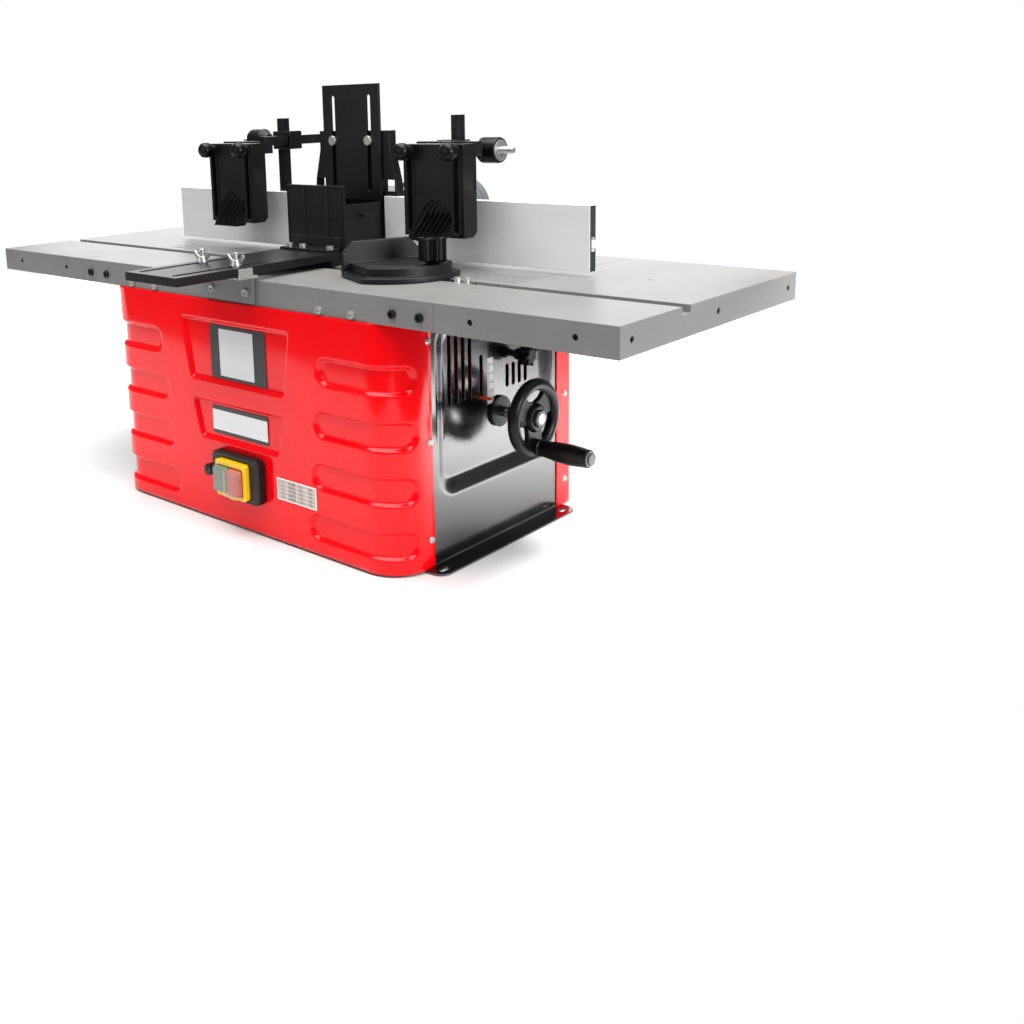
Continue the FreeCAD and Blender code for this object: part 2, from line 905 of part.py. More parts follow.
def folded(half, front, rear, radius, zs, facing):
    """Rounded U of a folded panel in plan; facing is -1 for the front one."""
    nose, tail = (front, rear) if facing < 0 else (rear, front)
    centre = nose - facing * radius
    straight = half - radius
    body = new_body()
    sketch = sketch_on(body, "XY_Plane", zs[0])
    lines = (
        ((-half, tail), (-half, centre)),
        ((-straight, nose), (straight, nose)),
        ((half, centre), (half, tail)),
        ((half, tail), (-half, tail)),
    )
    for index, ends in enumerate(lines):
        start, end = (Vector(number(u), number(v), 0) for u, v in ends)
        sketch.addGeometry(Part.LineSegment(start, end), False)
        tie(sketch, index, 1, *ends[0])
        if index < 2:
            tie(sketch, index, 2, *ends[1])
    sketch.addConstraint(Sketcher.Constraint("Coincident", 2, 2, 3, 1))
    sketch.addConstraint(Sketcher.Constraint("Coincident", 3, 2, 0, 1))
    for side, near, far in ((-1, (0, 2), (1, 1)), (1, (1, 2), (2, 1))):
        middle = Vector(number(side * straight), number(centre), 0)
        ring = Part.Circle(middle, Vector(0, 0, 1), number(radius))
        quarter = {(-1, -1): 2, (1, -1): 3, (-1, 1): 1, (1, 1): 0}[side, facing]
        angles = (quarter * math.pi / 2, (quarter + 1) * math.pi / 2)
        arc = sketch.addGeometry(Part.ArcOfCircle(ring, *angles), False)
        joints = (near, far) if facing < 0 else (far, near)
        for point, (line, end) in zip((1, 2), joints):
            sketch.addConstraint(Sketcher.Constraint("Coincident", arc, point, line, end))
        rule = sketch.addConstraint(Sketcher.Constraint("Radius", arc, number(radius)))
        sketch.setExpression(f"Constraints[{rule}]", radius.text)
    body.Tip = pad(body, sketch, zs[1] - zs[0])
    return body


def folded_shell(front, rear, radius, facing):
    """Sheet panel with a top lip that the table stands on."""
    zs = (panel_low, apron_low)
    skin = folded(cabinet_half, front, rear, radius, zs, facing)
    below = (panel_low - s.overrun, apron_low - s.sheet)
    above = (apron_low - s.sheet - s.overrun, apron_low + s.overrun)
    nose, tail = (front, rear + s.overrun) if facing < 0 else (rear, front - s.overrun)
    inner = ordered(nose - facing * s.sheet, tail)
    hollow = folded(side_outer, *inner, radius - s.sheet, below, facing)
    edge = ordered(nose - facing * s.lip, tail)
    mouth = folded(cabinet_half - s.lip, *edge, radius - s.lip, above, facing)
    straight = ordered(nose - facing * radius, tail)
    open_side = block((-side_outer, side_outer), straight, above)
    return cut(cut(skin, hollow), mouth, open_side)


def inset(span, margin):
    return (span[0] + margin, span[1] - margin)


def spread(middle, width):
    """Low and high place of a width about its middle."""
    return (middle - width / 2, middle + width / 2)


bar_pitch = (apron_low - s.bar_drop - s.bar_low) / (COUNTS["bar_count"] - 1)
bar_places = [
    (s.bar_inner + s.bar_step * i, s.bar_low + bar_pitch * i) for i in range(COUNTS["bar_count"])
]


def pressed_bars(margin, depth):
    """Round-ended bars pressed into the flat front and round both corners."""
    stadiums = []
    half = s.bar_height / 2 + margin
    deep = (panel_front - s.overrun, panel_front + s.bar_wrap + margin)
    for inner, z in bar_places:
        for side in (-1, 1):
            start = side * (inner + s.bar_height / 2)
            stop = side * (cabinet_half + s.overrun)
            stadiums.append(block(ordered(start, stop), deep, (z - half, z + half)))
            stadiums.append(rod(half, "y", deep, (start, z)))
    zs = (panel_low, apron_low)
    rear = front_seam + s.overrun
    skin = folded(cabinet_half, panel_front, rear, s.corner_radius, zs, -1)
    core = folded(
        cabinet_half - depth, panel_front + depth, rear + s.overrun, s.corner_radius - depth, zs, -1
    )
    return common(cut(skin, core), join(*stadiums))


def pressed_plate(low_width, high_width, zs, margin, depth):
    low_half = low_width / 2 + margin
    high_half = high_width / 2 + margin
    low = zs[0] - margin
    high = zs[1] + margin
    corners = [(-low_half, low), (low_half, low), (high_half, high), (-high_half, high)]
    return prism("y", corners, (panel_front, panel_front + depth))


def up_panel(share):
    """Height at a share of the front panel."""
    return panel_low + (apron_low - panel_low) * share


badge_zs = (up_panel(BADGE_LOW_SHARE), up_panel(BADGE_HIGH_SHARE))
badge = (s.badge_low_width, s.badge_high_width, badge_zs)
name_zs = (up_panel(NAME_LOW_SHARE), up_panel(NAME_HIGH_SHARE))
name = (s.name_low_width, s.name_high_width, name_zs)
pressed_depth = s.recess_depth + s.sheet
front_skin = join(
    folded_shell(panel_front, front_seam, s.corner_radius, -1),
    pressed_bars(s.sheet, pressed_depth),
    pressed_plate(*badge, s.sheet, pressed_depth),
    pressed_plate(*name, s.sheet, pressed_depth),
)
switch_xs = (s.switch_right - s.switch_width / 2, s.switch_right + s.switch_width / 2)
switch_high = name_zs[0] - s.switch_drop
switch_zs = (switch_high - s.switch_height, switch_high)
switch_box_xs = (switch_xs[0] + s.switch_margin, switch_xs[1] - s.switch_margin)
switch_box_zs = (switch_zs[0] + s.switch_margin, switch_zs[1] - s.switch_margin)
panel_through = (panel_front - s.overrun, panel_front + s.sheet + s.overrun)
switch_hole = block(
    (switch_box_xs[0] - s.rest_gap, switch_box_xs[1] + s.rest_gap),
    panel_through,
    (switch_box_zs[0] - s.rest_gap, switch_box_zs[1] + s.rest_gap),
)
plate_z = switch_high - s.switch_height / 2
dial_at = (-s.dial_left, plate_z)
dial_hole = rod(s.dial_neck + s.fit_gap, "y", panel_through, dial_at)
front_lap_y = front_seam - s.lap_inset
rear_lap_y = rear_seam + s.rear_lap_inset
screw_high = apron_low - s.panel_screw_drop
screw_rows = [s.panel_screw_low, (s.panel_screw_low + screw_high) / 2, screw_high]
lap_hole = s.panel_screw_shank + s.fit_gap


def lap_holes(y):
    holes = []
    for side in (-1, 1):
        through = ordered(side * (cabinet_half + s.overrun), side * (side_inner - s.overrun))
        holes += [rod(lap_hole, "x", through, (y, z)) for z in screw_rows]
    return holes


finish("front_panel", cut(
    front_skin,
    pressed_bars(0, s.recess_depth),
    pressed_plate(*badge, 0, s.recess_depth),
    pressed_plate(*name, 0, s.recess_depth),
    switch_hole,
    dial_hole,
    *lap_holes(front_lap_y),
))

gland_at = (-s.gland_left, s.gland_high)
rear_through = (cabinet_rear - s.sheet - s.overrun, cabinet_rear + s.overrun)
finish("rear_panel", cut(
    folded_shell(rear_seam, cabinet_rear, s.rear_radius, 1),
    rod(s.gland_radius + s.fit_gap, "y", rear_through, gland_at),
    *lap_holes(rear_lap_y),
))

foot_ys = (front_seam - s.foot_front, rear_seam + s.foot_back)
foot_slot_ys = (foot_ys[0] + s.foot_slot_inset, foot_ys[1] - s.foot_slot_inset)
side_depth = rear_seam - front_seam
vent_front = front_seam + side_depth * VENT_FRONT_SHARE
short_vent_front = front_seam + side_depth * SHORT_VENT_SHARE


def side_panel(label, side):
    """Black side panel with a top lip and an outward foot."""
    zs = (s.foot_thick, apron_low)
    ys = (front_seam - s.lap, rear_seam + s.rear_lap)
    wall = block(ordered(side * side_inner, side * side_outer), ys, zs)
    lip_x = ordered(side * (side_inner - s.lip), side * side_outer)
    lip_ys = (ys[0] + s.rest_gap, ys[1] - s.rest_gap)
    lip = block(lip_x, lip_ys, (apron_low - s.sheet, apron_low))
    foot_x = ordered(side * side_inner, side * (cabinet_half + s.foot_width))
    foot_end = side * (cabinet_half + s.foot_width - s.foot_round)
    foot_zs = (0, s.foot_thick)
    foot_middle = inset(foot_ys, s.foot_round)
    foot = join(
        block(ordered(side * side_inner, foot_end), foot_ys, foot_zs),
        block(foot_x, foot_middle, foot_zs),
        *[rod(s.foot_round, "z", foot_zs, (foot_end, y)) for y in foot_middle],
    )
    through = ordered(side * (side_inner - s.overrun), side * (side_outer + s.overrun))
    tools = []
    middle_x = side * (cabinet_half + s.foot_width / 2)
    for y in foot_slot_ys:
        half = s.foot_slot_length / 2
        down = (-s.overrun, s.foot_thick + s.overrun)
        tools.append(slot(s.foot_slot_width, "z", down, "y", (y - half, y + half), middle_x))
    for i in range(COUNTS["vent_count"]):
        step = side_depth * (VENT_PITCH_SHARE * i)
        tools.append(slot(
            s.vent_width, "x", through, "z", (s.vent_low, s.vent_high), vent_front + step))
        tools.append(slot(
            s.vent_width, "x", through, "z", (s.vent_low, s.short_vent_high),
            short_vent_front + step))
    if side > 0:
        tools.append(slot(
            s.scale_slot_width, "x", through, "z", (s.scale_slot_low, s.scale_slot_high),
            -s.scale_slot_front))
        tools.append(rod(s.bush_radius + s.fit_gap, "x", through, (0, s.shaft_high)))
        tools.append(rod(s.lock_stud + s.fit_gap, "x", through, (s.lock_back, s.lock_high)))
    tools += lap_holes(front_lap_y) + lap_holes(rear_lap_y)
    finish(label, cut(join(wall, lip, foot), *tools))


side_panel("left_panel", -1)
side_panel("right_panel", 1)

panel_screw = (s.panel_screw_head, s.panel_screw_cap, s.panel_screw_shank, s.panel_screw_grip)
panel_screws = []
for side in (-1, 1):
    for y in (front_lap_y, rear_lap_y):
        for z in screw_rows:
            panel_screws.append(screw(*panel_screw, "x", side, side * cabinet_half, (y, z)))
finish("panel_screws", group(panel_screws))

gland = join(
    rod(s.gland_radius, "y", (cabinet_rear - s.gland_length, cabinet_rear), gland_at),
    rod(s.gland_flange, "y", (cabinet_rear, cabinet_rear + s.gland_flange_thick), gland_at),
)
gland_through = (cabinet_rear - s.gland_length - s.overrun, cabinet_rear + s.gland_length)
finish("cable_gland", cut(gland, rod(s.gland_bore, "y", gland_through, gland_at)))


# Switch: a moulded box with a yellow plate and two push buttons, and a speed dial

switch_front = panel_front - s.switch_proud
plate_back = switch_front + s.switch_plate_thick
button_back = plate_back + s.switch_wall + s.rest_gap
plate_face = switch_front - s.switch_plate_rise
plate_x = s.switch_right - s.switch_plate_left
plate_xs = spread(plate_x, s.switch_plate_width)
plate_zs = spread(plate_z, s.switch_plate_height)


def button_block(side, margin, ys):
    """Upright block on the place of one button, wider by a margin all round."""
    xs = spread(plate_x + side * s.button_spacing / 2, s.button_width + margin * 2)
    return block(xs, ys, spread(plate_z, s.button_height + margin * 2))


def button_holes():
    through = (plate_face - s.overrun, button_back)
    return [button_block(side, s.slide_gap, through) for side in (-1, 1)]


switch_back = panel_front + s.switch_inside
finish("switch_housing", cut(
    join(
        block(switch_xs, (switch_front, panel_front), switch_zs),
        block(switch_box_xs, (panel_front, switch_back), switch_box_zs),
    ),
    block(plate_xs, (switch_front - s.overrun, plate_back), plate_zs),
    block(
        inset(switch_xs, s.switch_wall),
        (plate_back + s.switch_wall, panel_front - s.switch_wall),
        inset(switch_zs, s.switch_wall),
    ),
    block(
        inset(switch_box_xs, s.switch_wall),
        (panel_front - s.switch_wall - s.overrun, switch_back - s.switch_wall),
        inset(switch_box_zs, s.switch_wall),
    ),
    *button_holes(),
))
finish("switch_plate", cut(block(plate_xs, (plate_face, plate_back), plate_zs), *button_holes()))

for label, side in (("start_button", -1), ("stop_button", 1)):
    finish(label, join(
        button_block(side, 0, (switch_front - s.button_proud, button_back + s.button_rim)),
        button_block(side, s.button_rim, (button_back, button_back + s.button_rim)),
    ))

dial_back = panel_front - s.rest_gap
dial_face = dial_back - s.dial_length
finish("speed_dial", join(
    rod(s.dial_radius, "y", (dial_face, dial_back), dial_at),
    rod(s.dial_neck, "y", (dial_face, dial_face + s.dial_length + s.dial_neck_length), dial_at),
    block(
        spread(dial_at[0], s.dial_mark),
        (dial_face - s.dial_mark, dial_face + s.dial_mark),
        (dial_at[1], dial_at[1] + s.dial_radius),
    ),
))


# Lift: two columns hang from the table and tie to a frame that holds the screw

frame_top = s.frame_low + s.frame_thick
screw_foot = s.frame_low + s.frame_floor
column_places = [(side * s.column_side, s.column_back) for side in (-1, 1)]
screw_at = (s.screw_side, 0)
shaft_at = (0, s.shaft_high)
upright_xs = (s.screw_side + s.upright_reach, s.screw_side + s.upright_reach + s.upright_thick)

columns = [rod(s.column_radius, "z", (s.frame_low, table_under), at) for at in column_places]
finish("guide_columns", group(columns))

frame_through = (s.frame_low - s.overrun, frame_top + s.overrun)
finish("lift_frame", cut(
    join(
        block(
            (-s.column_side - s.frame_margin, upright_xs[1]),
            (-s.frame_margin, s.column_back + s.frame_margin),
            (s.frame_low, frame_top),
        ),
        block(upright_xs, spread(0, s.upright_width), (
            frame_top, s.shaft_high + s.upright_width / 2)),
    ),
    rod(s.screw_radius + s.fit_gap, "z", (screw_foot, frame_top + s.overrun), screw_at),
    rod(s.shaft_radius + s.fit_gap, "x",
        (upright_xs[0] - s.overrun, upright_xs[1] + s.overrun), shaft_at),
    *[rod(s.column_radius + s.fit_gap, "z", frame_through, at) for at in column_places],
))


def bevel_gear():
    """Mitre bevel with its wide end on the plane z = 0 and its hub below."""
    body = new_body()
    blank = sketch_on(body, "XZ_Plane")
    root = s.gear_radius - s.gear_dedendum
    face = s.gear_radius * (1 - GEAR_SMALL_SHARE)
    outline(blank, [
        (0, -s.gear_hub_length),
        (s.gear_hub, -s.gear_hub_length),
        (s.gear_hub, 0),
        (root, 0),
        (root * GEAR_SMALL_SHARE, face),
        (0, face),
    ])
    revolution(body, blank)
    pitch = s.gear_radius * (2 * math.pi / COUNTS["gear_teeth"])
    ends = []
    for lift, share in ((0, 1), (face, GEAR_SMALL_SHARE)):
        end = sketch_on(body, "XY_Plane", lift)
        tip = (s.gear_radius + s.gear_addendum) * share
        base = (root - s.gear_bite) * share
        root_half = pitch * (TOOTH_ROOT_SHARE / 2 * share)
        tip_half = pitch * (TOOTH_TIP_SHARE / 2 * share)
        outline(end, [(base, -root_half), (tip, -tip_half), (tip, tip_half), (base, root_half)])
        ends.append(end)
    tooth = body.newObject("PartDesign::AdditiveLoft", "Tooth")
    tooth.Profile = ends[0]
    tooth.Sections = [ends[1]]
    tooth.Ruled = True
    around(body, tooth, s.gear_teeth)
    return body


screw_gear = bevel_gear()
place(screw_gear, s.screw_side, 0, s.shaft_high - s.gear_radius)
screw_rod = rod(s.screw_radius, "z", (screw_foot, table_under - s.screw_head_gap), screw_at)
finish("lead_screw", join(screw_rod, screw_gear))

wheel_back = side_outer + s.wheel_stand
wheel_front = wheel_back + s.hub_length
half_pitch = Rotation(Vector(0, 0, 1), 180 / COUNTS["gear_teeth"])
shaft_gear = bevel_gear()
shaft_gear.Placement = Placement(Vector(), TURNS["-x"].multiply(half_pitch))
place(shaft_gear, s.screw_side + s.gear_radius, 0, s.shaft_high)
shaft_start = s.screw_side + s.gear_radius * GEAR_SMALL_SHARE
shaft_rod = rod(s.shaft_radius, "x", (shaft_start, wheel_front + s.hub_nut_thick), shaft_at)
finish("handwheel_shaft", join(shaft_rod, shaft_gear))

finish("shaft_bearing", cut(
    join(
        rod(s.bush_radius, "x", (side_outer - s.bush_length, side_outer), shaft_at),
        rod(s.bush_flange, "x", (side_outer, side_outer + s.bush_flange_thick), shaft_at),
    ),
    rod(s.shaft_radius + s.fit_gap, "x", (side_outer - s.bush_length - s.overrun, wheel_back), shaft_at),
))


# Handwheel: hub, three spokes and a rounded rim, with a turning crank grip

wheel = new_body()
shaft_bore = s.shaft_radius + s.fit_gap
hub = sketch_on(wheel, "XZ_Plane")
outline(hub, [
    (shaft_bore, 0),
    (s.hub_radius, 0),
    (s.hub_radius, s.hub_length),
    (shaft_bore, s.hub_length),
])
revolution(wheel, hub)
rim_back = s.hub_length - s.rim_width
rim_inner = s.wheel_radius - s.rim_depth
spoke = sketch_on(wheel, "XY_Plane", rim_back + (s.rim_width - s.web_thick) / 2)
spoke_us = (s.hub_radius - s.overrun, rim_inner + s.overrun)
spoke_half = s.spoke_width / 2
outline(spoke, [
    (spoke_us[0], -spoke_half),
    (spoke_us[1], -spoke_half),
    (spoke_us[1], spoke_half),
    (spoke_us[0], spoke_half),
])
around(wheel, pad(wheel, spoke, s.web_thick), s.spoke_count)
rim = sketch_on(wheel, "XZ_Plane")
outline(rim, [
    (rim_inner, rim_back + s.rim_round),
    (rim_inner + s.rim_round, rim_back),
    (s.wheel_radius - s.rim_round, rim_back),
    (s.wheel_radius, rim_back + s.rim_round),
    (s.wheel_radius, s.hub_length - s.rim_round),
    (s.wheel_radius - s.rim_round, s.hub_length),
    (rim_inner + s.rim_round, s.hub_length),
    (rim_inner, s.hub_length - s.rim_round),
])
revolution(wheel, rim)
boss = sketch_on(wheel, "XY_Plane", rim_back)
circle(boss, s.crank_offset, 0, s.crank_boss)
pad(wheel, boss, s.rim_width)
bolt_hole = sketch_on(wheel, "XY_Plane", rim_back - s.overrun)
circle(bolt_hole, s.crank_offset, 0, s.crank_bolt_radius + s.fit_gap)
wheel.Tip = pocket(wheel, bolt_hole, s.rim_width + s.overrun * 2)
finish("handwheel", wheel, (wheel_back, 0, s.shaft_high), "x")

grip_back = wheel_front + s.rest_gap
grip_bore = s.crank_bolt_radius + s.fit_gap
grip = turned([
    (grip_bore, 0),
    (s.grip_neck, 0),
    (s.grip_neck, s.grip_length * GRIP_WAIST_SHARE),
    (s.grip_belly, s.grip_length * GRIP_BELLY_SHARE),
    (s.grip_tip, s.grip_length),
    (grip_bore, s.grip_length),
])
crank_at = (0, s.shaft_high - s.crank_offset)
finish("crank_grip", grip, (grip_back, 0, crank_at[1]), "x")

grip_end = grip_back + s.grip_length + s.rest_gap
crank_nut_back = wheel_back + rim_back - s.crank_bolt_cap
hub_nut = cut(
    rod(s.hub_nut_radius, "x", (wheel_front, wheel_front + s.hub_nut_thick), shaft_at),
    rod(shaft_bore, "x", (wheel_front - s.overrun, wheel_front + s.hub_nut_thick + s.overrun), shaft_at),
)
crank_bolt = join(
    rod(s.crank_bolt_radius, "x", (crank_nut_back, grip_end), crank_at),
    rod(s.crank_bolt_head, "x", (grip_end, grip_end + s.crank_bolt_cap), crank_at),
    rod(s.crank_bolt_head, "x", (crank_nut_back, wheel_back + rim_back), crank_at),
)
finish("wheel_bolts", group([hub_nut, crank_bolt]))


# Height lock on the right panel

def scalloped(axis, span, at, radius, count, bite):
    """Disc with finger hollows round its edge."""
    tools = []
    for i in range(count):
        turn = 2 * math.pi * i / count
        spot = (at[0] + radius * math.cos(turn), at[1] + radius * math.sin(turn))
        tools.append(rod(bite, axis, (span[0] - s.overrun, span[1] + s.overrun), spot))
    return cut(rod(radius, axis, span, at), *tools)


lock_at = (s.lock_back, s.lock_high)
lock_foot = side_outer + s.rest_gap
lock_base = lock_foot + s.lock_neck_length
lock_head = scalloped(
    "x", (lock_base, lock_base + s.lock_thick), lock_at,
    s.lock_radius, COUNTS["lock_lobe_count"], s.lock_scallop,
)
finish("lock_knob", join(
    rod(s.lock_stud, "x", (side_outer - s.lock_stud_inside, lock_base), lock_at),
    rod(s.lock_neck, "x", (lock_foot, lock_base), lock_at),
    lock_head,
))


# Motor carrier: rides on the columns, tapped for the lift screw

carrier_zs = (s.carrier_low, s.carrier_low + s.carrier_thick)
carrier_through = (carrier_zs[0] - s.overrun, carrier_zs[1] + s.overrun)
boss_width = s.carrier_margin * 2
finish("motor_carrier", cut(
    join(
        rod(s.motor_radius + s.carrier_margin, "z", carrier_zs, spindle_at),
        block((-s.column_side, s.column_side), spread(s.column_back, boss_width), carrier_zs),
        block((0, s.screw_side), spread(0, boss_width), carrier_zs),
        rod(s.carrier_margin, "z", carrier_zs, screw_at),
        *[rod(s.carrier_margin, "z", carrier_zs, at) for at in column_places],
    ),
    rod(s.motor_radius, "z", carrier_through, spindle_at),
    rod(s.screw_radius + s.fit_gap, "z", carrier_through, screw_at),
    *[rod(s.column_radius + s.fit_gap, "z", carrier_through, at) for at in column_places],
))

pointer_zs = (s.carrier_low - s.pointer_thick, s.carrier_low)
pointer_ys = spread(-s.scale_slot_front, s.pointer_width)
pointer_xs = spread(s.screw_side, s.pointer_width)
finish("height_pointer", join(
    block(pointer_xs, (pointer_ys[0], s.pointer_root - s.carrier_margin), pointer_zs),
    block((pointer_xs[0], cabinet_half + s.pointer_proud), pointer_ys, pointer_zs),
))


# Motor: housing, end cap, stator and bearings, with the turning spindle inside

motor_inner = s.motor_radius - s.motor_wall
motor_lid = s.motor_high - s.motor_wall
upper_seat = s.nose_high - s.bearing_drop - s.bearing_thick
motor_place = (0, s.spindle_back, 0)
finish("motor_housing", turned([
    (s.motor_radius, s.motor_low),
    (s.motor_radius, s.motor_high),
    (s.nose_radius, s.motor_high),
    (s.nose_radius, s.nose_high),
    (s.bearing_radius, s.nose_high),
    (s.bearing_radius, upper_seat),
    (s.nose_bore, upper_seat),
    (s.nose_bore, motor_lid),
    (motor_inner, motor_lid),
    (motor_inner, s.motor_low),
]), motor_place)

cap_low = s.motor_low - s.cap_thick
cap_floor = cap_low + s.cap_wall
lower_seat = cap_floor + s.bearing_drop
lower_top = lower_seat + s.bearing_thick
cap_boss = s.bearing_radius + s.cap_wall
cap = turned([
    (0, cap_low),
    (s.motor_radius, cap_low),
    (s.motor_radius, s.motor_low),
    (motor_inner, s.motor_low),
    (motor_inner, cap_floor),
    (cap_boss, cap_floor),
    (cap_boss, lower_top),
    (s.bearing_radius, lower_top),
    (s.bearing_radius, lower_seat),
    (0, lower_seat),
])
vent = sketch_on(cap, "XY_Plane", cap_low - s.overrun)
vent_start = cap_boss + s.cap_vent_inset
vent_us = (vent_start, vent_start + s.cap_vent_length)
vent_half = s.cap_vent_width / 2
outline(vent, [
    (vent_us[0], -vent_half),
    (vent_us[1], -vent_half),
    (vent_us[1], vent_half),
    (vent_us[0], vent_half),
])
around(cap, pocket(cap, vent, s.cap_wall + s.overrun * 2), s.cap_vent_count)
finish("motor_cap", cap, motor_place)

core_zs = (s.stator_low, s.stator_high)
core_through = (s.stator_low - s.overrun, s.stator_high + s.overrun)
finish("motor_stator", cut(
    rod(motor_inner, "z", core_zs, spindle_at),
    rod(motor_inner - s.stator_wall, "z", core_through, spindle_at),
))
finish("motor_rotor", cut(
    rod(s.rotor_radius, "z", core_zs, spindle_at),
    rod(s.spindle_radius, "z", core_through, spindle_at),
))

bearings = []
for low in (lower_seat, upper_seat):
    high = low + s.bearing_thick
    bore = rod(s.spindle_radius + s.fit_gap, "z", (low - s.overrun, high + s.overrun), spindle_at)
    bearings.append(cut(rod(s.bearing_radius, "z", (low, high), spindle_at), bore))
finish("spindle_bearings", group(bearings))

finish("spindle_shaft", cut(
    join(
        rod(s.spindle_radius, "z", (lower_seat + s.rest_gap, s.spindle_nose_low), spindle_at),
        rod(s.spindle_nose_radius, "z", (s.spindle_nose_low, s.spindle_nose_high), spindle_at),
    ),
    rod(s.collet_radius, "z", (s.collet_low, s.spindle_nose_high + s.overrun), spindle_at),
))
slit_zs = (s.collet_slit_low, s.collet_high + s.overrun)
slit_reach = s.collet_radius * 4
finish("collet", cut(
    rod(s.collet_radius, "z", (s.collet_low, s.collet_high), spindle_at),
    rod(s.collet_bore, "z", (s.collet_low - s.overrun, s.collet_high + s.overrun), spindle_at),
    block(spread(0, s.collet_slit), spread(s.spindle_back, slit_reach), slit_zs),
    block(spread(0, slit_reach), spread(s.spindle_back, s.collet_slit), slit_zs),
))
hexagon = []
for i in range(6):
    turn = math.pi * i / 3
    hexagon.append((
        s.collet_nut_radius * math.cos(turn),
        s.spindle_back + s.collet_nut_radius * math.sin(turn),
    ))
finish("collet_nut", cut(
    prism("z", hexagon, (s.collet_nut_low, s.collet_nut_high)),
    rod(s.spindle_nose_radius, "z", (s.collet_nut_low - s.overrun, s.spindle_nose_high), spindle_at),
    rod(s.collet_radius + s.fit_gap, "z", (s.collet_nut_low, s.collet_nut_high + s.overrun), spindle_at),
))


# Hood behind the cutter, with wings for the fences and a tower for the guard plate

hood_half = s.hood_width / 2
hood_inner = hood_half - s.hood_wall
hood_front = s.fence_back + s.plate_thick + s.rest_gap
hood_rear = hood_front + s.hood_depth
flange_front = fence_rear + s.rest_gap
flange_back = flange_front + s.flange_thick
tower_back = hood_front + s.tower_thick
tslot_z = fence_low + s.tslot_high
fence_bolt_hole = s.fence_bolt_radius + s.fit_gap
port_bore = s.port_radius - s.port_wall
port_at = (0, s.port_high)

hood_shapes = [
    block((-hood_half, hood_half), (hood_front, hood_rear), (hood_low, s.hood_high)),
    prism("y", [
        (-s.tower_low_width / 2, s.tower_low),
        (s.tower_low_width / 2, s.tower_low),
        (s.tower_mid_width / 2, s.tower_sill),
        (s.tower_high_width / 2, s.tower_neck),
        (s.tower_high_width / 2, s.tower_high),
        (-s.tower_high_width / 2, s.tower_high),
        (-s.tower_high_width / 2, s.tower_neck),
        (-s.tower_mid_width / 2, s.tower_sill),
    ], (hood_front, tower_back)),
]
hood_cuts = [
    block(
        (-hood_inner, hood_inner),
        (hood_front - s.overrun, hood_rear - s.hood_wall),
        (hood_low - s.overrun, s.hood_high - s.hood_wall),
    ),
    rod(port_bore, "y", (hood_rear - s.hood_wall - s.overrun, hood_rear + s.overrun), port_at),
]
hood_slot = (s.table_screw_shank + s.slide_gap) * 2
for side in (-1, 1):
    reach = ordered(side * hood_inner, side * s.flange_reach)
    hood_shapes.append(block(reach, (flange_front, flange_back), (hood_low, s.flange_high)))
    foot_ys = (flange_front, flange_front + s.flange_depth)
    hood_shapes.append(block(reach, foot_ys, (hood_low, hood_low + s.flange_thick)))
    window = ordered(side * s.tower_window_inner, side * s.tower_window_outer)
    hood_cuts.append(block(
        window,
        (hood_front - s.overrun, tower_back + s.overrun),
        (s.tower_window_low, s.tower_sill),
    ))
    hood_cuts.append(rod(
        fence_bolt_hole, "y", (hood_front - s.overrun, tower_back + s.overrun),
        (side * s.plate_bolt_side, s.plate_bolt_high),
    ))
    hood_cuts.append(rod(
        fence_bolt_hole, "y", (flange_front - s.overrun, flange_back + s.overrun),
        (side * s.fence_bolt_side, tslot_z),
    ))
    slot_back = s.hood_bolt_back + hood_slot / 2
    hood_cuts.append(slot(
        hood_slot, "z", (hood_low - s.overrun, hood_low + s.flange_thick + s.overrun),
        "y", (slot_back - s.hood_bolt_travel - hood_slot, slot_back), side * s.hood_bolt_side,
    ))
finish("fence_hood", cut(join(*hood_shapes), *hood_cuts))

finish("dust_port", cut(
    join(
        rod(s.port_radius, "y", (hood_rear, s.port_end), port_at),
        rod(s.port_foot, "y", (hood_rear, hood_rear + s.port_foot_thick), port_at),
        rod(s.port_collar, "y", (s.port_end - s.port_collar_length, s.port_end), port_at),
    ),
    rod(port_bore, "y", (hood_rear - s.overrun, s.port_end + s.overrun), port_at),
))


# Fences: extruded bars with a slot at the back, and the bolts that hold them

channel_front = fence_rear - s.tslot_lip - s.tslot_depth
channel_back = fence_rear - s.tslot_lip


def fence(label, side, inner):
    ends = (inner, inner + s.fence_length)
    xs = ordered(side * ends[0], side * ends[1])
    run = (xs[0] - s.overrun, xs[1] + s.overrun)
    finish(label, cut(
        block(xs, (fence_front, fence_rear), (fence_low, fence_low + s.fence_height)),
        block(run, (channel_back - s.overrun, fence_rear + s.overrun), spread(tslot_z, s.tslot_mouth)),
        block(run, (channel_front, channel_back), spread(tslot_z, s.tslot_width)),
    ))


fence("left_fence", -1, s.left_fence_inner)
fence("right_fence", 1, s.right_fence_inner)

fence_bolt = (s.fence_bolt_head, s.fence_bolt_cap, s.fence_bolt_radius, s.fence_bolt_grip)


def fence_nut(face, at):
    return cut(
        rod(s.fence_nut_radius, "y", (face, face + s.fence_nut_thick), at),
        rod(fence_bolt_hole, "y", (face - s.overrun, face + s.fence_nut_thick + s.overrun), at),
    )


fence_bolts = []
for side in (-1, 1):
    low_at = (side * s.fence_bolt_side, tslot_z)
    fence_bolts.append(screw(*fence_bolt, "y", -1, channel_back - s.rest_gap, low_at))
    fence_bolts.append(fence_nut(flange_back, low_at))
    high_at = (side * s.plate_bolt_side, s.plate_bolt_high)
    fence_bolts.append(screw(*fence_bolt, "y", -1, fence_front - s.rest_gap, high_at))
    fence_bolts.append(fence_nut(tower_back, high_at))
finish("fence_bolts", group(fence_bolts))

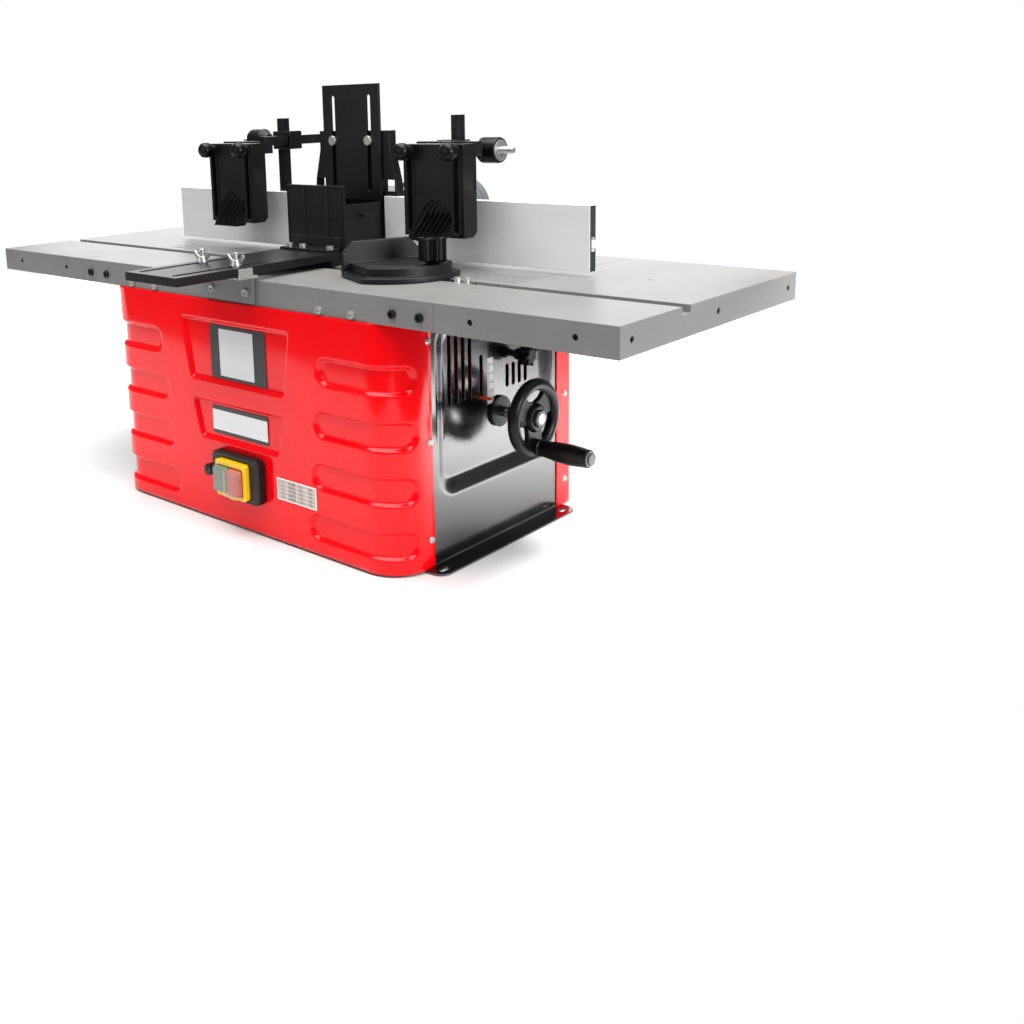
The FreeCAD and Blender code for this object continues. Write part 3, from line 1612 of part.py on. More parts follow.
plate_ys = (s.fence_back, s.fence_back + s.plate_thick)
plate_through = (plate_ys[0] - s.overrun, plate_ys[1] + s.overrun)
plate_half = s.plate_width / 2
finish("guard_plate", cut(
    block((-plate_half, plate_half), plate_ys, (s.plate_low, s.plate_high)),
    *[slot(
        s.plate_slot_width, "y", plate_through, "z", (s.plate_slot_low, s.plate_slot_high),
        side * s.plate_bolt_side,
    ) for side in (-1, 1)],
))


# Hold-downs: a post in each fence slot, a clamp, an arm over the fence and a comb board

board_back = s.board_thick - s.board_front
arm_front = board_back + s.rest_gap
board_through = (-s.board_front - s.overrun, board_back + s.overrun)


def stud_xs(side):
    return [side * (s.board_side + turn * s.board_slot_side) for turn in (-1, 1)]


def leaning_slit(x):
    """Thin cut between two comb fingers, from below the board up."""
    slit = doc.addObject("Part::Box", "Slit")
    bind(slit, "Length", s.finger_slit)
    bind(slit, "Width", board_through[1] - board_through[0])
    bind(slit, "Height", s.finger_length)
    slit.Placement = Placement(Vector(), Rotation(Vector(0, 1, 0), ANGLES["finger_lean_angle"]))
    place(slit, x, board_through[0], s.board_low - s.finger_start)
    return slit


def hold_down(name, side, arm_high):
    post_xs = spread(side * s.post_side, s.post_size)
    post_ys = spread(s.post_back, s.post_size)
    foot_xs = spread(side * s.post_side, s.post_foot_width)
    foot_zs = spread(tslot_z, s.post_foot_height)
    finish(f"{name}_post", join(
        block(post_xs, post_ys, (foot_zs[0], s.post_high)),
        block(foot_xs, (fence_rear, fence_rear + s.post_foot_depth), foot_zs),
        block(foot_xs, (channel_back - s.overrun, fence_rear), spread(tslot_z, s.tslot_mouth - s.rest_gap)),
        block(
            foot_xs, (channel_front + s.rest_gap, channel_back - s.slide_gap),
            spread(tslot_z, s.tslot_width - s.rest_gap),
        ),
    ))

    arm_xs = spread(side * s.arm_side, s.arm_size)
    arm_zs = spread(arm_high, s.arm_size)
    clamp_outer = s.post_side + s.post_size / 2 + s.clamp_wall
    clamp_xs = ordered(side * (s.arm_side - s.arm_size / 2 - s.clamp_wall), side * clamp_outer)
    clamp_ys = spread(s.post_back, s.clamp_depth)
    clamp_zs = spread(arm_high, s.clamp_height)
    gap = s.slide_gap
    post_face = s.post_side + s.post_size / 2
    stud_at = (s.post_back, arm_high)
    finish(f"{name}_clamp", cut(
        block(clamp_xs, clamp_ys, clamp_zs),
        block(inset(post_xs, -gap), inset(post_ys, -gap), inset(clamp_zs, -s.overrun)),
        block(inset(arm_xs, -gap), inset(clamp_ys, -s.overrun), inset(arm_zs, -gap)),
        rod(
            s.clamp_stud_radius + s.fit_gap, "x",
            ordered(side * post_face, side * (clamp_outer + s.overrun)), stud_at,
        ),
    ))

    neck_end = clamp_outer + s.rest_gap + s.clamp_neck_length
    cone_end = neck_end + s.clamp_knob_cone
    knob_end = cone_end + s.clamp_knob_length

    def reach(near, far):
        return ordered(side * near, side * far)

    radii = (s.clamp_neck, s.clamp_knob_radius)
    low_radius, high_radius = radii if side > 0 else radii[::-1]
    finish(f"{name}_clamp_knob", join(
        rod(s.clamp_stud_radius, "x", reach(post_face + s.rest_gap, knob_end + s.clamp_stud_tip), stud_at),
        rod(s.clamp_neck, "x", reach(clamp_outer + s.rest_gap, neck_end), stud_at),
        cone(low_radius, high_radius, "x", reach(neck_end, cone_end), stud_at),
        scalloped(
            "x", reach(cone_end, knob_end), stud_at,
            s.clamp_knob_radius, COUNTS["knurl_count"], s.clamp_knurl,
        ),
    ))

    holder_end = s.board_side + s.board_slot_side + s.holder_margin
    holder_xs = ordered(side * (s.arm_side - s.arm_size / 2), side * holder_end)
    holder_ys = (arm_front, arm_front + s.holder_depth)
    finish(f"{name}_arm", cut(
        join(
            block(arm_xs, (arm_front, s.arm_rear), arm_zs),
            block(holder_xs, holder_ys, spread(s.board_stud_high + s.holder_rise, s.holder_height)),
        ),
        *[rod(
            s.board_stud_radius + s.fit_gap, "y", inset(holder_ys, -s.overrun), (x, s.board_stud_high),
        ) for x in stud_xs(side)],
    ))

    board_xs = spread(side * s.board_side, s.board_width)
    comb_start = side * s.board_side - s.finger_pitch * (COUNTS["finger_count"] / 2) - s.finger_lean_shift
    finish(f"{name}_featherboard", cut(
        prism("x", [
            (-s.board_front, s.board_low),
            (board_back - s.board_chamfer, s.board_low),
            (board_back, s.board_low + s.board_chamfer),
            (board_back, s.board_high),
            (-s.board_front, s.board_high),
        ], board_xs),
        *[slot(
            s.board_slot_width, "y", board_through, "z", (s.board_slot_low, s.board_slot_high), x,
        ) for x in stud_xs(side)],
        *[leaning_slit(comb_start + s.finger_pitch * i) for i in range(COUNTS["finger_count"])],
        block(
            (board_xs[0] - s.overrun, board_xs[0] + s.board_step_width), board_through,
            (s.board_low - s.overrun, s.board_low + s.board_step_rise),
        ),
    ))

    knob_back = -s.board_front - s.rest_gap
    neck_front = knob_back - s.board_neck_length
    knob_front = neck_front - s.board_knob_length
    knobs = []
    for x in stud_xs(side):
        at = (x, s.board_stud_high)
        knobs.append(join(
            rod(s.board_stud_radius, "y", (knob_front, holder_ys[1]), at),
            rod(s.board_neck, "y", (neck_front, knob_back), at),
            rod(s.board_knob_radius, "y", (knob_front, neck_front), at),
        ))
    finish(f"{name}_board_knobs", group(knobs))


hold_down("left", -1, s.left_arm_high)
hold_down("right", 1, s.right_arm_high)


# Front guard: a steel rail on the apron, a slotted base and a box over the cutter

base_half = s.base_width / 2
base_low = s.base_high - s.base_thick
base_ys = (-s.base_front, -s.base_back)
rail_top = base_low - s.rest_gap
rail_half = base_half + s.rest_gap + s.rail_thick
rail_front = table_front - s.rail_depth
stud_y = table_front - s.wing_stud_forward
stud_places = [(side * s.base_slot_side, stud_y) for side in (-1, 1)]
leg_low = table_top - s.rail_drop

rail_shapes = [
    block(spread(0, s.rail_leg_width), (table_front - s.rail_thick, table_front), (leg_low, rail_top)),
    block((-rail_half, rail_half), (rail_front, table_front), (rail_top - s.rail_thick, rail_top)),
]
for side in (-1, 1):
    ear_xs = ordered(side * (base_half + s.rest_gap), side * rail_half)
    ear_ys = (rail_front, rail_front + s.rail_ear_depth)
    rail_shapes.append(block(ear_xs, ear_ys, (rail_top - s.rail_thick, rail_top + s.rail_ear_height)))
rail_shapes += [
    rod(s.wing_stud_radius, "z", (rail_top - s.rail_thick, s.wing_stud_high), at) for at in stud_places
]
rail_through = (table_front - s.rail_thick - s.overrun, table_front + s.overrun)
finish("guard_rail", cut(join(*rail_shapes), *[
    rod(screw_hole, "y", rail_through, (x, table_top - drop)) for x, drop in rail_screw_places
]))

foot_low = table_top + s.rest_gap
base_zs = (base_low, s.base_high)
finish("guard_base", cut(
    join(
        cut(
            block((-base_half, base_half), base_ys, base_zs),
            block(
                (s.base_skirt_wall - base_half, base_half - s.base_skirt_wall),
                inset(base_ys, s.base_skirt_wall),
                (base_low - s.overrun, s.base_high - s.base_top_thick),
            ),
        ),
        block(
            (-base_half, base_half), (base_ys[1] - s.base_foot_depth, base_ys[1]),
            (foot_low, s.base_high),
        ),
    ),
    *[slot(
        s.base_slot_width, "z", (base_low - s.overrun, s.base_high + s.overrun), "y",
        (-s.base_slot_front, -s.base_slot_back), x,
    ) for x, y in stud_places],
))

nut_low = s.base_high + s.rest_gap
nut_top = nut_low + s.wing_nut_thick
wing_nuts = []
for x, y in stud_places:
    wing_zs = (nut_low + s.wing_root, nut_low + s.wing_height)
    wings = block(spread(x, s.wing_span), spread(y, s.wing_thick), wing_zs)
    gap = block(
        spread(x, s.wing_nut_radius * 2), spread(y, s.wing_nut_radius * 2),
        (nut_top, nut_low + s.wing_height + s.overrun),
    )
    bore = rod(s.wing_stud_radius + s.fit_gap, "z", (nut_low - s.overrun, nut_top + s.overrun), (x, y))
    wing_nuts.append(cut(join(rod(s.wing_nut_radius, "z", (nut_low, nut_top), (x, y)), wings), gap, bore))
finish("wing_nuts", group(wing_nuts))

shield_half = s.shield_width / 2
shield_ys = (-s.shield_front, s.shield_reach)
shield_plate = (shield_ys[0], shield_ys[0] + s.shield_wall)
shield_shapes = [
    block((-shield_half, shield_half), shield_plate, (s.shield_low, s.shield_high)),
    block(
        (-s.bracket_width / 2, s.bracket_width / 2), (shield_ys[0] - s.bracket_thick, shield_ys[0]),
        (s.base_high, s.base_high + s.bracket_height),
    ),
    block(
        (-s.bracket_width / 2, s.bracket_width / 2), (shield_ys[0] - s.bracket_depth, shield_ys[0]),
        (s.base_high, s.base_high + s.bracket_thick),
    ),
    block(
        (shield_half - s.overrun, shield_half + s.shield_tab),
        spread(s.shield_tab_back - s.shield_front, s.shield_tab),
        (s.shield_tab_high, s.shield_tab_high + s.shield_wall),
    ),
]
for side in (-1, 1):
    wall = ordered(side * (shield_half - s.shield_wall), side * shield_half)
    shield_shapes.append(block(wall, shield_ys, (s.shield_low, s.shield_side_high)))
    shield_shapes.append(block(
        spread(side * s.shield_rib_side, s.shield_rib_width),
        (shield_ys[0] - s.shield_rib, shield_plate[1]),
        (s.shield_low, s.shield_high),
    ))
finish("guard_shield", join(*shield_shapes))


# Mitre gauge: a bar in the table slot and a turning head with a clamp knob

bar_low = table_top - s.slot_depth + s.slide_gap
bar_zs = (bar_low, table_top - s.slide_gap)
bar_through = inset(bar_zs, -s.overrun)
knob_at = (s.mitre_pivot + s.mitre_arc_radius, slot_y)
finish("mitre_bar", cut(
    block(
        (s.mitre_bar_left, s.mitre_bar_right),
        spread(slot_y, s.slot_width - s.rest_gap), bar_zs,
    ),
    rod(s.mitre_pivot_radius + s.fit_gap, "z", bar_through, (s.mitre_pivot, slot_y)),
    rod(s.mitre_stud_radius + s.fit_gap, "z", bar_through, knob_at),
))

head_low = table_top + s.rest_gap
base_top = head_low + s.mitre_base_thick
step_top = base_top + s.mitre_step_thick
face_back = -s.mitre_face_back
face_front = face_back - s.mitre_face_thick
face_top = head_low + s.mitre_face_high
chamfer = s.mitre_face_chamfer
centre = (0, 0)
tiers = []
for radius, half, zs in (
    (s.mitre_base_radius, s.mitre_base_half, (head_low, base_top)),
    (s.mitre_step_radius, s.mitre_step_half, (base_top, step_top)),
):
    plan = block((face_back, radius), (-half, half), zs)
    tiers.append(common(rod(radius, "z", zs, centre), plan))
face_plate = prism("x", [
    (-s.mitre_face_near, head_low),
    (s.mitre_face_far, head_low),
    (s.mitre_face_far, face_top - chamfer),
    (s.mitre_face_far - chamfer, face_top),
    (chamfer - s.mitre_face_near, face_top),
    (-s.mitre_face_near, face_top - chamfer),
], (face_front, face_back))
pin = rod(s.mitre_pivot_radius, "z", (bar_low + s.overrun, base_top), centre)

arc_zs = (head_low - s.overrun, step_top + s.overrun)
arc_outer = s.mitre_arc_radius + s.mitre_arc_width / 2
arc_inner = s.mitre_arc_radius - s.mitre_arc_width / 2
arc_turn = math.radians(ANGLES["mitre_arc_angle"])
arc_side = s.mitre_arc_radius * (2 * math.sin(arc_turn))
arc_end = s.mitre_arc_radius * (2 * math.cos(arc_turn))
arc = common(
    cut(rod(arc_outer, "z", arc_zs, centre), rod(arc_inner, "z", inset(arc_zs, -s.overrun), centre)),
    prism("z", [(0, 0), (arc_end, -arc_side), (arc_end, arc_side)], arc_zs),
)
TURNS["mitre"] = Rotation(Vector(0, 0, 1), ANGLES["mitre_turn_angle"])
mitre_head = cut(join(*tiers, face_plate, pin), arc)
finish("mitre_head", mitre_head, (s.mitre_pivot, slot_y, 0), "mitre")

neck_low = step_top + s.rest_gap
neck_top = neck_low + s.mitre_knob_neck_length
finish("mitre_knob", join(
    rod(s.mitre_stud_radius, "z", (bar_low + s.overrun, neck_top + s.overrun), knob_at),
    rod(s.mitre_knob_neck, "z", (neck_low, neck_top), knob_at),
    scalloped(
        "z", (neck_top, neck_top + s.mitre_knob_thick), knob_at,
        s.mitre_knob_radius, COUNTS["mitre_lobe_count"], s.mitre_knob_scallop,
    ),
))


# Check every shape and write one file for each piece

doc.recompute()
for item in doc.Objects:
    if "Invalid" in item.State or "Error" in item.State:
        raise RuntimeError(f"{item.Label} failed to build: {item.State}")
for piece in pieces:
    if piece.Shape.isNull() or not piece.Shape.isValid():
        raise RuntimeError(f"{piece.Label} has no valid shape")
os.makedirs("parts", exist_ok=True)
for piece in pieces:
    piece.Shape.exportStep(f"parts/{piece.Label}.step")
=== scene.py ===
"""Bench spindle moulder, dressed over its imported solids, in metres."""
import json
import math

import bmesh
import bpy
import numpy as np
from mathutils import Matrix, Vector

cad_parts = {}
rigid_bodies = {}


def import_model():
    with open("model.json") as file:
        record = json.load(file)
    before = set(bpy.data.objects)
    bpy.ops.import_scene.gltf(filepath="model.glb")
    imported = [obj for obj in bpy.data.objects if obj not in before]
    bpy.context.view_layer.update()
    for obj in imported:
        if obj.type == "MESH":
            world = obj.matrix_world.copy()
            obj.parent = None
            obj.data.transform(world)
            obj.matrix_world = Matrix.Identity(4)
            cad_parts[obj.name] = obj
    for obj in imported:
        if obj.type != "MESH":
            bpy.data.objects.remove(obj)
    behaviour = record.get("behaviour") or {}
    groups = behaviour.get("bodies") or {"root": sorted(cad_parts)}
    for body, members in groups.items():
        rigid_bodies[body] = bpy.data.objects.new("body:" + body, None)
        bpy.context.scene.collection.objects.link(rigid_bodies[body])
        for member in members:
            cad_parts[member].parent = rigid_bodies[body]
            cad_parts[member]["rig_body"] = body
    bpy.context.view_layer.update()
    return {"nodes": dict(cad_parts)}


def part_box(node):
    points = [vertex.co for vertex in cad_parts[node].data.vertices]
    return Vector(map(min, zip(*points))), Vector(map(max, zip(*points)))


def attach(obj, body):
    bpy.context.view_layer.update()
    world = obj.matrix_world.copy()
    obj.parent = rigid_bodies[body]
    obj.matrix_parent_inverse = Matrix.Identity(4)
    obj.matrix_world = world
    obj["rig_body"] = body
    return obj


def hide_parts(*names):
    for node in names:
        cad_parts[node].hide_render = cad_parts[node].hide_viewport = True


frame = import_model()


# Side panels: two folded steel sheets that carry the table and end in bolting feet.
# A shallow field is pressed inwards and slots are stamped out before the sheet is folded,
# and glossy black stoving enamel covers it all round.

MM = 0.001
WELD, CUT_REACH, FLAT_ANGLE = 0.002 * MM, 1e-7, math.radians(1)
nodes = frame["nodes"]


def linear(code):
    """Linear colour of an sRGB hex code."""
    parts = [int(code[i:i + 2], 16) / 255 for i in (1, 3, 5)]
    return [p / 12.92 if p <= 0.04045 else ((p + 0.055) / 1.055) ** 2.4 for p in parts] + [1.0]


def add(tree, kind, inputs, **settings):
    """Add a node with its settings; an input is a value or a socket that links to it."""
    node = tree.nodes.new(kind)
    for name, value in settings.items():
        setattr(node, name, value)
    for socket, value in inputs.items():
        if isinstance(value, bpy.types.NodeSocket):
            tree.links.new(value, node.inputs[socket])
        else:
            node.inputs[socket].default_value = value
    return node


def finish(name, tones, rough, grain, relief=0.0, drift=30.0, stretch=(1, 1, 1), **values):
    """Finish that drifts between two tones and two roughnesses, with a relief on its grain, in mm."""
    material = bpy.data.materials.new(name)
    material.use_nodes = True
    tree = material.node_tree
    shader = tree.nodes["Principled BSDF"]
    for socket, value in values.items():
        shader.inputs[socket.replace("_", " ")].default_value = value
    place = add(tree, "ShaderNodeTexCoord", {}).outputs["Object"]
    drawn = add(tree, "ShaderNodeMapping", {"Vector": place, "Scale": stretch}).outputs[0]
    fine = add(tree, "ShaderNodeTexNoise", {
        "Vector": drawn, "Scale": 1 / (grain * MM), "Detail": 3.0}).outputs[0]
    broad = add(tree, "ShaderNodeTexNoise", {
        "Vector": drawn, "Scale": 1 / (drift * MM), "Detail": 4.0}).outputs[0]
    share = add(tree, "ShaderNodeMapRange", {"Value": broad, "From Min": 0.3, "From Max": 0.7}).outputs[0]
    tone = add(tree, "ShaderNodeMix", {
        0: share, 6: linear(tones[0]), 7: linear(tones[1])}, data_type="RGBA").outputs[2]
    tree.links.new(tone, shader.inputs["Base Color"])
    gloss = add(tree, "ShaderNodeMapRange", {
        "Value": fine, "From Min": 0.3, "From Max": 0.7, "To Min": rough[0], "To Max": rough[1]})
    tree.links.new(gloss.outputs[0], shader.inputs["Roughness"])
    if relief:
        bump = add(tree, "ShaderNodeBump", {"Height": fine, "Distance": relief * MM})
        tree.links.new(bump.outputs[0], shader.inputs["Normal"])
    return material


def placed(name, data):
    """Object with its data, linked to the scene."""
    thing = bpy.data.objects.new(name, data)
    bpy.context.scene.collection.objects.link(thing)
    return thing


def plain(holder):
    """Plain mesh of an object with its modifiers run; the object goes."""
    graph = bpy.context.evaluated_depsgraph_get()
    mesh = bpy.data.meshes.new_from_object(
        holder.evaluated_get(graph), preserve_all_data_layers=True, depsgraph=graph)
    bpy.data.objects.remove(holder)
    return mesh


def rounded(shape, width, material, steps=2, angle=35):
    """Mesh of a sharp shape with its edges rounded over a width in mm."""
    mesh = bpy.data.meshes.new("shape")
    shape.to_mesh(mesh)
    shape.free()
    mesh.materials.append(material)
    mesh.shade_smooth()
    holder = placed("holder", mesh)
    bevel = holder.modifiers.new("Edges", "BEVEL")
    bevel.width = width * MM
    bevel.segments = steps
    bevel.limit_method = "ANGLE"
    bevel.angle_limit = math.radians(angle)
    bevel.use_clamp_overlap = False
    bevel.loop_slide = False
    holder.modifiers.new("Shading", "WEIGHTED_NORMAL").keep_sharp = True
    return plain(holder)


def keep(name, mesh, body, *stands_for):
    """Put a finished mesh on a body, in place of the solids that it stands for."""
    piece = placed(name, mesh)
    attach(piece, body)
    if stands_for:
        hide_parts(*stands_for)
    return piece


def welded(node):
    """Editable copy of a solid with its doubled points joined."""
    shape = bmesh.new()
    shape.from_mesh(nodes[node].data)
    bmesh.ops.remove_doubles(shape, verts=shape.verts, dist=WELD)
    return shape


def faced(node):
    """Editable copy of a solid with one face to each flat side."""
    shape = welded(node)
    bmesh.ops.dissolve_limit(shape, angle_limit=FLAT_ANGLE, verts=shape.verts, edges=shape.edges)
    return shape


def eased(node, width, material):
    """Mesh of a solid with its edges broken over a width in mm."""
    return rounded(faced(node), width, material)


def softened(node, width, material):
    """Stand in for a solid with the same shape and eased edges."""
    return keep(f"{node}_skin", eased(node, width, material), nodes[node]["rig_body"], node)


# Stoving enamel levels out to a deep gloss with a faint orange peel.
black_enamel = finish(
    "black_stoving_enamel", ("#030304", "#060607"), (0.14, 0.22), 4.0, relief=0.006, drift=60.0,
    IOR=2.1)
# The field in mm along and up the panel, its slope, and the cuts that give the slope its faces.
FIELD_YS, FIELD_ZS = (-102.5, 116.0), (72.0, 274.0)
SLOPE, FIELD_CORNER, PRESS = 23.0, 32.0, 6.5
CUT_STEP, CUT_COUNT, TOP_STEP, TOP_COUNT = 2.0, 17, 3.0, 11
ALONG, UPWARD = Vector((0, 1, 0)), Vector((0, 0, 1))
# The wall's outer face, the foot's top, and the bend between them.
SIDE_FACE, FOOT_TOP, OVERLAP = 253.5, 3.0, 0.2
BEND, BEND_YS, BEND_STEPS = 2.4, (-108.0, 121.5), 6


def depth_at(y, z):
    """Share of the press at a place in mm: none outside the field, all of it past the slope."""
    reach = [
        abs(place - sum(span) / 2) - ((span[1] - span[0]) / 2 - FIELD_CORNER)
        for place, span in ((y, FIELD_YS), (z, FIELD_ZS))]
    outside = math.hypot(*(max(r, 0) for r in reach)) + min(max(reach), 0) - FIELD_CORNER
    share = min(max(-outside / SLOPE, 0), 1)
    return share * share * (3 - 2 * share)


def band(shape, a, b):
    """Add the faces between two rings of points of like count."""
    for i in range(len(a)):
        k = (i + 1) % len(a)
        shape.faces.new((a[i], a[k], b[k], b[i]))


def side_sheet(node, side):
    """Put a side panel with its field pressed inwards, and its foot's bend, on the frame."""
    sheet = faced(node)
    for way, edge, step, count in (
            (ALONG, FIELD_YS[0], CUT_STEP, CUT_COUNT), (ALONG, FIELD_YS[1], -CUT_STEP, CUT_COUNT),
            (UPWARD, FIELD_ZS[0], CUT_STEP, CUT_COUNT), (UPWARD, FIELD_ZS[1], -TOP_STEP, TOP_COUNT)):
        for i in range(count):
            bmesh.ops.bisect_plane(
                sheet, geom=sheet.verts[:] + sheet.edges[:] + sheet.faces[:], dist=CUT_REACH,
                plane_co=way * (edge + step * i) * MM, plane_no=way)
    for vert in sheet.verts:
        vert.co.x -= side * PRESS * MM * depth_at(vert.co.y / MM, vert.co.z / MM)
    keep(f"{node}_pressing", rounded(sheet, 0.4, black_enamel), "frame", node)

    bend = bmesh.new()
    ends = []
    wall, foot = SIDE_FACE - OVERLAP, FOOT_TOP - OVERLAP
    for y in BEND_YS:
        arc = [(wall, foot + BEND), (wall, foot), (SIDE_FACE + BEND, foot)]
        for i in range(BEND_STEPS + 1):
            turn = math.radians(270 - 90 * i / BEND_STEPS)
            arc.append((SIDE_FACE + BEND + BEND * math.cos(turn), FOOT_TOP + BEND + BEND * math.sin(turn)))
        ends.append([bend.verts.new(Vector((side * x, y, z)) * MM) for x, z in arc])
    bend.faces.new(ends[0])
    bend.faces.new(ends[1])
    band(bend, *ends)
    bmesh.ops.recalc_face_normals(bend, faces=bend.faces)
    keep(f"{node}_bend", rounded(bend, 0.05, black_enamel), "frame")


side_sheet("left_panel", -1)
side_sheet("right_panel", 1)


# Height scale: a printed white strip stuck beside the pointer's slot on the right panel,
# with a line for each 2 mm of lift and plain numbers at each 10 mm.

BACK_MM = 17.5


def row(x, y, z):
    """Place in metres from mm that start under the middle of the table."""
    return Vector((x, y + BACK_MM, z)) * MM


def box(shape, xs, ys, zs):
    """Add a box between low and high places in mm."""
    low, high = row(xs[0], ys[0], zs[0]), row(xs[1], ys[1], zs[1])
    stand = Matrix.Translation((low + high) / 2) @ Matrix.Diagonal((*(high - low), 1))
    return bmesh.ops.create_cube(shape, size=1, matrix=stand)["verts"]


def new_tree(name, sockets):
    """Empty geometry tree with named inputs."""
    tree = bpy.data.node_groups.new(name, "GeometryNodeTree")
    tree.interface.new_socket("Places", in_out="INPUT", socket_type="NodeSocketGeometry")
    for label, kind in sockets.items():
        tree.interface.new_socket(label, in_out="INPUT", socket_type=f"NodeSocket{kind}")
    tree.interface.new_socket("Pieces", in_out="OUTPUT", socket_type="NodeSocketGeometry")
    return tree, tree.nodes.new("NodeGroupInput").outputs


def end_tree(tree, instances, material):
    """Close a tree: real geometry with one material."""
    real = add(tree, "GeometryNodeRealizeInstances", {"Geometry": instances}).outputs[0]
    coated = add(tree, "GeometryNodeSetMaterial", {"Geometry": real, "Material": material}).outputs[0]
    end = tree.nodes.new("NodeGroupOutput")
    tree.links.new(coated, end.inputs[0])


def grown(tree, places, values, **marks):
    """Plain mesh that a tree makes at places in metres, from the marks that it reads at each."""
    mesh = bpy.data.meshes.new("places")
    mesh.from_pydata([tuple(p) for p in places], [], [])
    for name, rows in marks.items():
        rows = np.array(rows, dtype=float)
        kind, field = ("FLOAT_VECTOR", "vector") if rows.ndim == 2 else ("FLOAT", "value")
        mesh.attributes.new(name, kind, "POINT").data.foreach_set(field, rows.ravel())
    holder = placed("holder", mesh)
    grow = holder.modifiers.new("Grow", "NODES")
    grow.node_group = tree
    for item in tree.interface.items_tree:
        if item.in_out == "INPUT" and item.name in values:
            grow[item.identifier] = values[item.name]
    return plain(holder)


def merged(*meshes):
    """One mesh from several, each with its own materials."""
    whole = bpy.data.meshes.new("merged")
    shape = bmesh.new()
    for mesh in meshes:
        start = len(whole.materials)
        for material in mesh.materials:
            whole.materials.append(material)
        first = len(shape.faces)
        shape.from_mesh(mesh)
        shape.faces.ensure_lookup_table()
        for face in shape.faces[first:]:
            face.material_index += start
    shape.to_mesh(whole)
    shape.free()
    return whole


bar_tree, bar_in = new_tree("printed_lines", {"Size": "Vector", "Material": "Material"})
bar_cube = add(bar_tree, "GeometryNodeMeshCube", {"Size": bar_in["Size"]}).outputs[0]
bar_rows = add(bar_tree, "GeometryNodeInstanceOnPoints", {
    "Points": bar_in["Places"], "Instance": bar_cube}).outputs[0]
end_tree(bar_tree, bar_rows, bar_in["Material"])


def lines(places, size, material):
    """Thin bars of one size at places in mm."""
    return grown(bar_tree, [row(*p) for p in places], {
        "Size": [edge * MM for edge in size], "Material": material})


FONT_SHARE = 1.4


def number(text, height, stand, material):
    """Flat mesh of a plain number of a height in mm, turned and placed by a matrix."""
    curve = bpy.data.curves.new("number", "FONT")
    curve.body = text
    curve.size = height * FONT_SHARE * MM
    curve.align_x = curve.align_y = "CENTER"
    mesh = plain(placed("holder", curve))
    mesh.transform(stand)
    mesh.materials.clear()
    mesh.materials.append(material)
    return mesh


# Printed vinyl has an even, slightly soft sheen.
white_vinyl = finish("white_printed_vinyl", ("#E4E4E2", "#EDEDEB"), (0.32, 0.42), 1.5)
# Screen ink is a flat black, a little duller than the vinyl under it.
black_ink = finish("black_screen_ink", ("#141414", "#1C1C1C"), (0.35, 0.5), 0.8)
field_face = SIDE_FACE - PRESS
scale_ys, scale_zs, scale_start = (-21.0, -10.5), (160.0, 213.0), 165.0
strip_thick, ink_lift = 0.3, 0.03
mark_step, mark_count, mark_y, mark_size = 2, 22, -18.6, (0.06, 3.4, 0.5)
long_step, long_count, long_y, long_size = 10, 5, -17.6, (0.06, 5.6, 0.8)
number_y, number_height = -13.0, 3.2
facing_right = Matrix(((0, 0, 1, 0), (1, 0, 0, 0), (0, 1, 0, 0), (0, 0, 0, 1)))
ink_face = field_face + strip_thick + ink_lift
strip = bmesh.new()
box(strip, (field_face, field_face + strip_thick), scale_ys, scale_zs)
scale_parts = [rounded(strip, 0.1, white_vinyl)]
scale_parts.append(lines(
    [(ink_face, mark_y, scale_start + mark_step * i) for i in range(mark_count)], mark_size, black_ink))
scale_parts.append(lines(
    [(ink_face, long_y, scale_start + long_step * i) for i in range(long_count)], long_size, black_ink))
for i in range(long_count):
    spot = row(ink_face + ink_lift, number_y, scale_start + long_step * i)
    lift_left = long_step * (long_count - 1 - i)
    scale_parts.append(number(
        str(lift_left), number_height, Matrix.Translation(spot) @ facing_right, black_ink))
keep("height_scale", merged(*scale_parts), "frame")


# Front panel: one steel sheet folded round the front corners, with a lip under the table.
# Four bars at each side and two recesses for plates are pressed in before it is
# enamelled bright red; it is screwed to the side panels at its laps.

RECESS, PRESS_BLEND, SHEET, PLATE_CORNER = 4.5, 5.0, 1.5, 6.0
COARSE, FINE, EDGE_ZONE = 5.0, 1.1, 6.0
LIP_INSETS, SWITCH_LAP = (4.0, 14.0), 7
# A slight wave in the sheet bends what the enamel mirrors.
WAVE, WAVE_RUN, WAVE_RISE = 0.35, 41.0, 77.0
panel_lo, panel_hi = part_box("front_panel")
panel_half, panel_nose = panel_hi.x / MM, panel_lo.y / MM - BACK_MM
panel_seam = panel_hi.y / MM - BACK_MM
panel_zs = (panel_lo.z / MM, panel_hi.z / MM)
corner = 46.0
flat_half = panel_half - corner
turn_length = corner * math.pi / 2
run_end = flat_half + turn_length + panel_seam - panel_nose - corner


def on_panel(run):
    """Place and inward way on the folded sheet, at a run in mm from its middle."""
    side, far = math.copysign(1, run), abs(run)
    if far <= flat_half:
        return (run, panel_nose), (0, 1)
    if far <= flat_half + turn_length:
        turn = (far - flat_half) / corner
        way = (math.sin(turn), math.cos(turn))
        middle = (flat_half, panel_nose + corner)
        return (side * (middle[0] + corner * way[0]), middle[1] - corner * way[1]), (-side * way[0], way[1])
    return (side * panel_half, panel_nose + corner + far - flat_half - turn_length), (-side, 0)


def stepped(low, high, coarse, fine, zones):
    """Line places from low to high, close together inside the zones."""
    places = [low]
    while places[-1] < high - 1e-6:
        here = places[-1]
        inside = any(a - 1e-6 <= here < b for a, b in zones)
        ahead = min([a for a, b in zones if a > here + 1e-6] + [high])
        places.append(min(here + (fine if inside else coarse), ahead))
    return places


